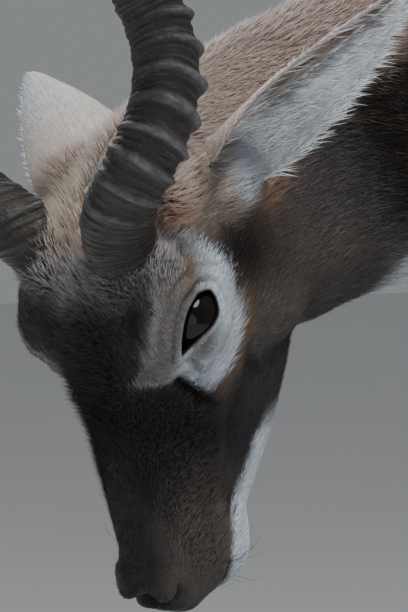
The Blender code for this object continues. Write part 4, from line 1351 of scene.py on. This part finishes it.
def eyeLook():
    a, b = attribute("eyeAlong", 2), attribute("eyeUp", 2)
    r = (a * a + b * b) ** 0.5
    pupil = 0.6 * between(((a / eye["pupil"][0]) ** 2.0 + (b / eye["pupil"][1]) ** 2.0) ** 0.5, 1.12, 0.92)
    rays = noise(Wire.node("CombineXYZ", {}, X=a / (r + 0.1), Y=b / (r + 0.1), Z=r * 0.03), 9.0, 4.0)
    iris = mixColour(rays, (0.003, 0.002, 0.002), (0.010, 0.0065, 0.005))
    ring = mixColour(between(r, *eye["irisEdge"]), iris, (0.005, 0.004, 0.0035))
    white = mixColour(between(r, *eye["whiteFrom"]), ring, (0.011, 0.008, 0.007))
    return {"Base Color": mixColour(pupil, white, (0.0015, 0.0015, 0.002))}


print("eyes")
eyeFinish = finishNamed("wet_eye", eyeLook, Roughness=0.04, IOR=1.30)
for side, name, node in ((1, "eyeLeft", "eye_left"), (-1, "eyeRight", "eye_right")):
    addPiece(name, meshOf(makeEye(side), name), eyeFinish, [node])

lashes = {"count": 90, "from": -12.5, "to": 10.5, "length": 6.5, "width": 0.42, "rise": 58.0}
for side, name in ((1, "lashesLeft"), (-1, "lashesRight")):
    centre, out, along, up = (np.array(v) for v in eyeFrame(side))
    a = dice.uniform(lashes["from"], lashes["to"], lashes["count"])
    b = lidHeight(a) + dice.uniform(0.2, 0.9, len(a))
    o = np.sqrt((lids["eyeRadius"] + 1.2) ** 2 - a * a - b * b)
    rest = a[:, None] * along + b[:, None] * up + o[:, None] * out
    spots = centre + rest * mm
    size = [lashes[key] for key in ("length", "width", "rise")]
    lie = up[None] - (0.25 + 0.02 * a)[:, None] * along
    grown = (spots, unit(rest), lie, size, plain("bare", len(a)), roundHead(spots))
    makeTufts(name, *grown, "dark_coat", True)


# Ears
def earPoint(row, sideTurn, depth, earPlace):
    base, axis, back, across = earPlace
    share, outer, angle = row
    turn = sideTurn * math.radians(angle)
    radius = outer - depth
    behind = radius * math.cos(turn) + ears["spine"] * (1 - share) - outer
    offset = back * behind + across * (radius * math.sin(turn))
    return base + (axis * (share * ears["length"]) + offset) * mm


def makeEar(side):
    place = earFrame(side)
    bm = bmesh.new()
    inside = bm.verts.layers.float.new("inside")
    rings = []
    for row in smoothRows(ears["stations"], 8):
        row = (row[0], row[1], row[2] * ears["angleShare"])
        ring = []
        turns = [-1 + 2 * j / ears["around"] for j in range(ears["around"] + 1)]
        for turn in turns:
            v = bm.verts.new(earPoint(row, turn, ears["inset"], place))
            v[inside] = 0.0
            ring.append(v)
        for turn in reversed(turns):
            fold = 0.5 * math.cos(turn * 14) * math.sin(math.pi * row[0])
            depth = ears["inset"] + ears["wall"] + fold * (1 - turn * turn)
            v = bm.verts.new(earPoint(row, turn, depth, place))
            v[inside] = 1.0
            ring.append(v)
        rings.append(ring)
    closeTube(bm, rings)
    return bm


print("ears")
earCoat = {
    "Inside": {"dense": 0.85, "length": 13.0, "width": 0.62},
    "Outside": {"dense": 1.0, "length": 4.5, "width": 0.7},
    "comb": -0.6,  # how much the hairs inside lean to the lower rim
    "short": {1: 1.0, -1: 0.4},
    # painted shade: how much darker the ear's skin is than its hair
    "shade": 0.92,
    # half width of the ear: share of its length, mm
    "rim": ((0, 15), (.22, 21), (.38, 21.5), (.55, 18), (.72, 13.6), (.86, 8.5), (.95, 5.4), (1, 2.5)),
}


def dressEar(side, name):
    base, axis, _, across = (np.array(v) for v in earFrame(side))
    bm = makeEar(side)
    inside = np.array([v[bm.verts.layers.float["inside"]] for v in bm.verts])
    mesh = meshOf(bm, name)
    points = coordsOf(mesh)

    def look(points, inside, jitter=0.0):
        away = (points - base) / mm
        share = clamp(away @ axis / ears["length"] + jitter)
        out = away @ across / (across @ across)
        rim = np.abs(out) / np.interp(share, *np.array(earCoat["rim"]).T)
        band = rim * np.sign(out) * inside * clamp(share, 1.05, 0.85) * (side > 0)
        return share, blended(
            plain("fawn", len(points)),
            # cream at the ear's root: partly pale hair, partly painted light over the shadow at the root
            ("cream", 0.35 * clamp(share, 0.4, 0.1)),
            ("cream", 0.85 * clamp(share, 0.10, 0.34)),
            ("white", 0.7 * clamp(share, 0.45, 0.8)),
            # the white inside the ears: the hair's own white, lifted brighter and bluer as painted light on
            # the shaded inside of the cup
            ("earWhite", inside),
            ("cheek", 0.8 * bump(band, 0.12, 0.10) * clamp(share, 0.12, 0.25)),
            ("tan", 0.95 * bump(band, 0.45, 0.25) * clamp(share, 0.1, 0.25)),
            ("fawn", 0.7 * clamp(band, 0.7, 0.85)),
            ("tan", 0.10 * inside * bump(out, -7, 5)),
        )

    # the ear's skin darkened by painted shade from the hair over it
    giveAttribute(mesh, "coatColour", look(points, inside)[1] * earCoat["shade"])
    giveAttribute(mesh, "grain", points - 0.9 * np.outer((points - base) @ axis, axis))
    corners, normals, index = surfaceOf(mesh)
    innerFace = inside[index].mean(1)
    addPiece(name, mesh, skinFinish, [ears[side]["node"]])
    for kind, chosen in (("Inside", innerFace > 0.4), ("Outside", innerFace <= 0.6)):
        inner, spec = kind == "Inside", earCoat[kind]
        roots, ways = scattered(corners, normals, np.where(chosen, spec["dense"], 0))
        share, rgb = look(roots, np.full(len(roots), float(inner)), dice.normal(0, 0.02, len(roots)))
        out = (roots - base) @ across
        lean = earCoat["comb"] + 0 * out if inner else 0.25 * np.sign(out)
        lies = axis + across * lean[:, None]
        deep = clamp(share, 0.38, 0.08) * inner
        length = spec["length"] * earCoat["short"][side] * (0.5 + 0.5 * clamp(share, 1.0, 0.75))
        length *= (1 + 0.25 * deep) * (0.3 + 0.7 * clamp(share, 0.03, 0.16))
        size = (length, spec["width"], 7 + 7 * deep)
        spots = np.stack([share, clamp(out / mm, -30, 30)], 1)
        makeTufts(name + kind, roots, ways, lies, size, rgb, spots, "white_coat", inner)


for side, name in ((1, "earLeft"), (-1, "earRight")):
    dressEar(side, name)

# Tail
print("tail")
# shade darkens the tail's skin as painted shade under its hair
tail = {"slim": 0.72, "shade": 0.7, "dense": 0.28, "length": 17.0, "width": 1.5, "rise": 10.0}
bm = bmesh.new()
slim = [(Vector((0, y, z)), w * tail["slim"], d * tail["slim"]) for y, z, w, d in smoothRows(body["tail"], 6)]
addPathTube(bm, slim, skinSettings["around"]["tail"])
tailMesh = meshOf(bm, "tailSkin")


def tailColour(points):
    under = clamp(points[:, 1], 0.413, 0.403) * clamp(points[:, 2], 0.74, 0.70)
    return blended(plain("back", len(points)), ("white", under))


points = coordsOf(tailMesh)
# the tail's skin darkened by painted shade from the hair over it
paint(tailMesh, points, tailColour(points) * tail["shade"])
corners, cornerNormals, _ = surfaceOf(tailMesh)
addPiece("tailSkin", tailMesh, skinFinish, ["tail"])
roots, ways = scattered(corners, cornerNormals, np.full(len(corners), tail["dense"]))
size = [tail[key] for key in ("length", "width", "rise")]
spots = np.stack([clamp(roots[:, 2], 0.56, 0.77), turnShare(roots[:, 0], roots[:, 1] - 0.40)], 1)
down = np.tile((0, 0.05, -1.0), (len(roots), 1))
makeTufts("tailHair", roots, ways, down, size, tailColour(roots), spots, "fawn_coat", True)

# Camera, floor and light
print("camera, floor and light")
view = {
    "yaw": math.radians(50.6), "rise": math.radians(2.0), "away": 3.0,
    "wide": 408, "high": 612, "pxPerMm": 2.1236, "eye": (144.8, 316.3),
}


def placeCamera():
    yaw, rise = view["yaw"], view["rise"]
    back = Vector((math.sin(yaw) * math.cos(rise), -math.cos(yaw) * math.cos(rise), math.sin(rise)))
    right = Vector((math.cos(yaw), math.sin(yaw), 0))
    up = back.cross(right)
    middle = headMid + shift
    middle += right * ((view["wide"] / 2 - view["eye"][0]) / view["pxPerMm"] * mm)
    middle += up * ((view["eye"][1] - view["high"] / 2) / view["pxPerMm"] * mm)
    data = bpy.data.cameras.new("camera")
    data.sensor_width = 36
    data.lens = data.sensor_width / 2 * view["away"] / (view["high"] / 2 / view["pxPerMm"] * mm)
    made = linked("camera", data)
    turn = back.to_track_quat("Z", "Y").to_matrix().to_4x4()
    made.matrix_world = Matrix.Translation(middle + back * view["away"]) @ turn
    scene.camera = made


def floorLook():
    return {"Base Color": mixColour(noise(objectCoords(), 3.0), (0.76, 0.76, 0.75), (0.80, 0.80, 0.79))}


studio = {
    # place, width, power and colour
    "lights": {
        "key": ((1.1, -0.7, 3.3), 2.1, 150, (1, 1, 1)),
        "fill": ((2.2, -2.4, 0.7), 3.0, 34, (0.90, 0.95, 1.0)),
        "rim": ((-2.4, 0.5, 2.3), 1.6, 60, (0.88, 0.94, 1.0)),
    },
    "aim": (0, -0.5, 0.55), "Color": (0.80, 0.83, 0.86, 1), "Strength": 0.30,
}


def addLight(name, place, size, power, colour):
    data = bpy.data.lights.new(name, "AREA")
    data.shape = "DISK"
    data.size = size
    data.energy = power
    data.color = colour
    made = linked(name, data)
    away = Vector(place) - Vector(studio["aim"])
    made.matrix_world = Matrix.Translation(place) @ away.to_track_quat("Z", "Y").to_matrix().to_4x4()


placeCamera()
bm = bmesh.new()
bmesh.ops.create_grid(bm, x_segments=1, y_segments=1, size=12)
floorMesh = meshOf(bm, "floor", closed=False)
floorMesh.materials.append(finishNamed("pale_floor", floorLook, Roughness=0.9))
floor = linked("floor", floorMesh)
floor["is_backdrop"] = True
for name, light in studio["lights"].items():
    addLight(name, *light)
world = bpy.data.worlds.new("studio")
world.use_nodes = True
for socket in ("Color", "Strength"):
    world.node_tree.nodes["Background"].inputs[socket].default_value = studio[socket]
scene.world = world

size = {"cad": cadBox, "visual": [list(corner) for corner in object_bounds()]}
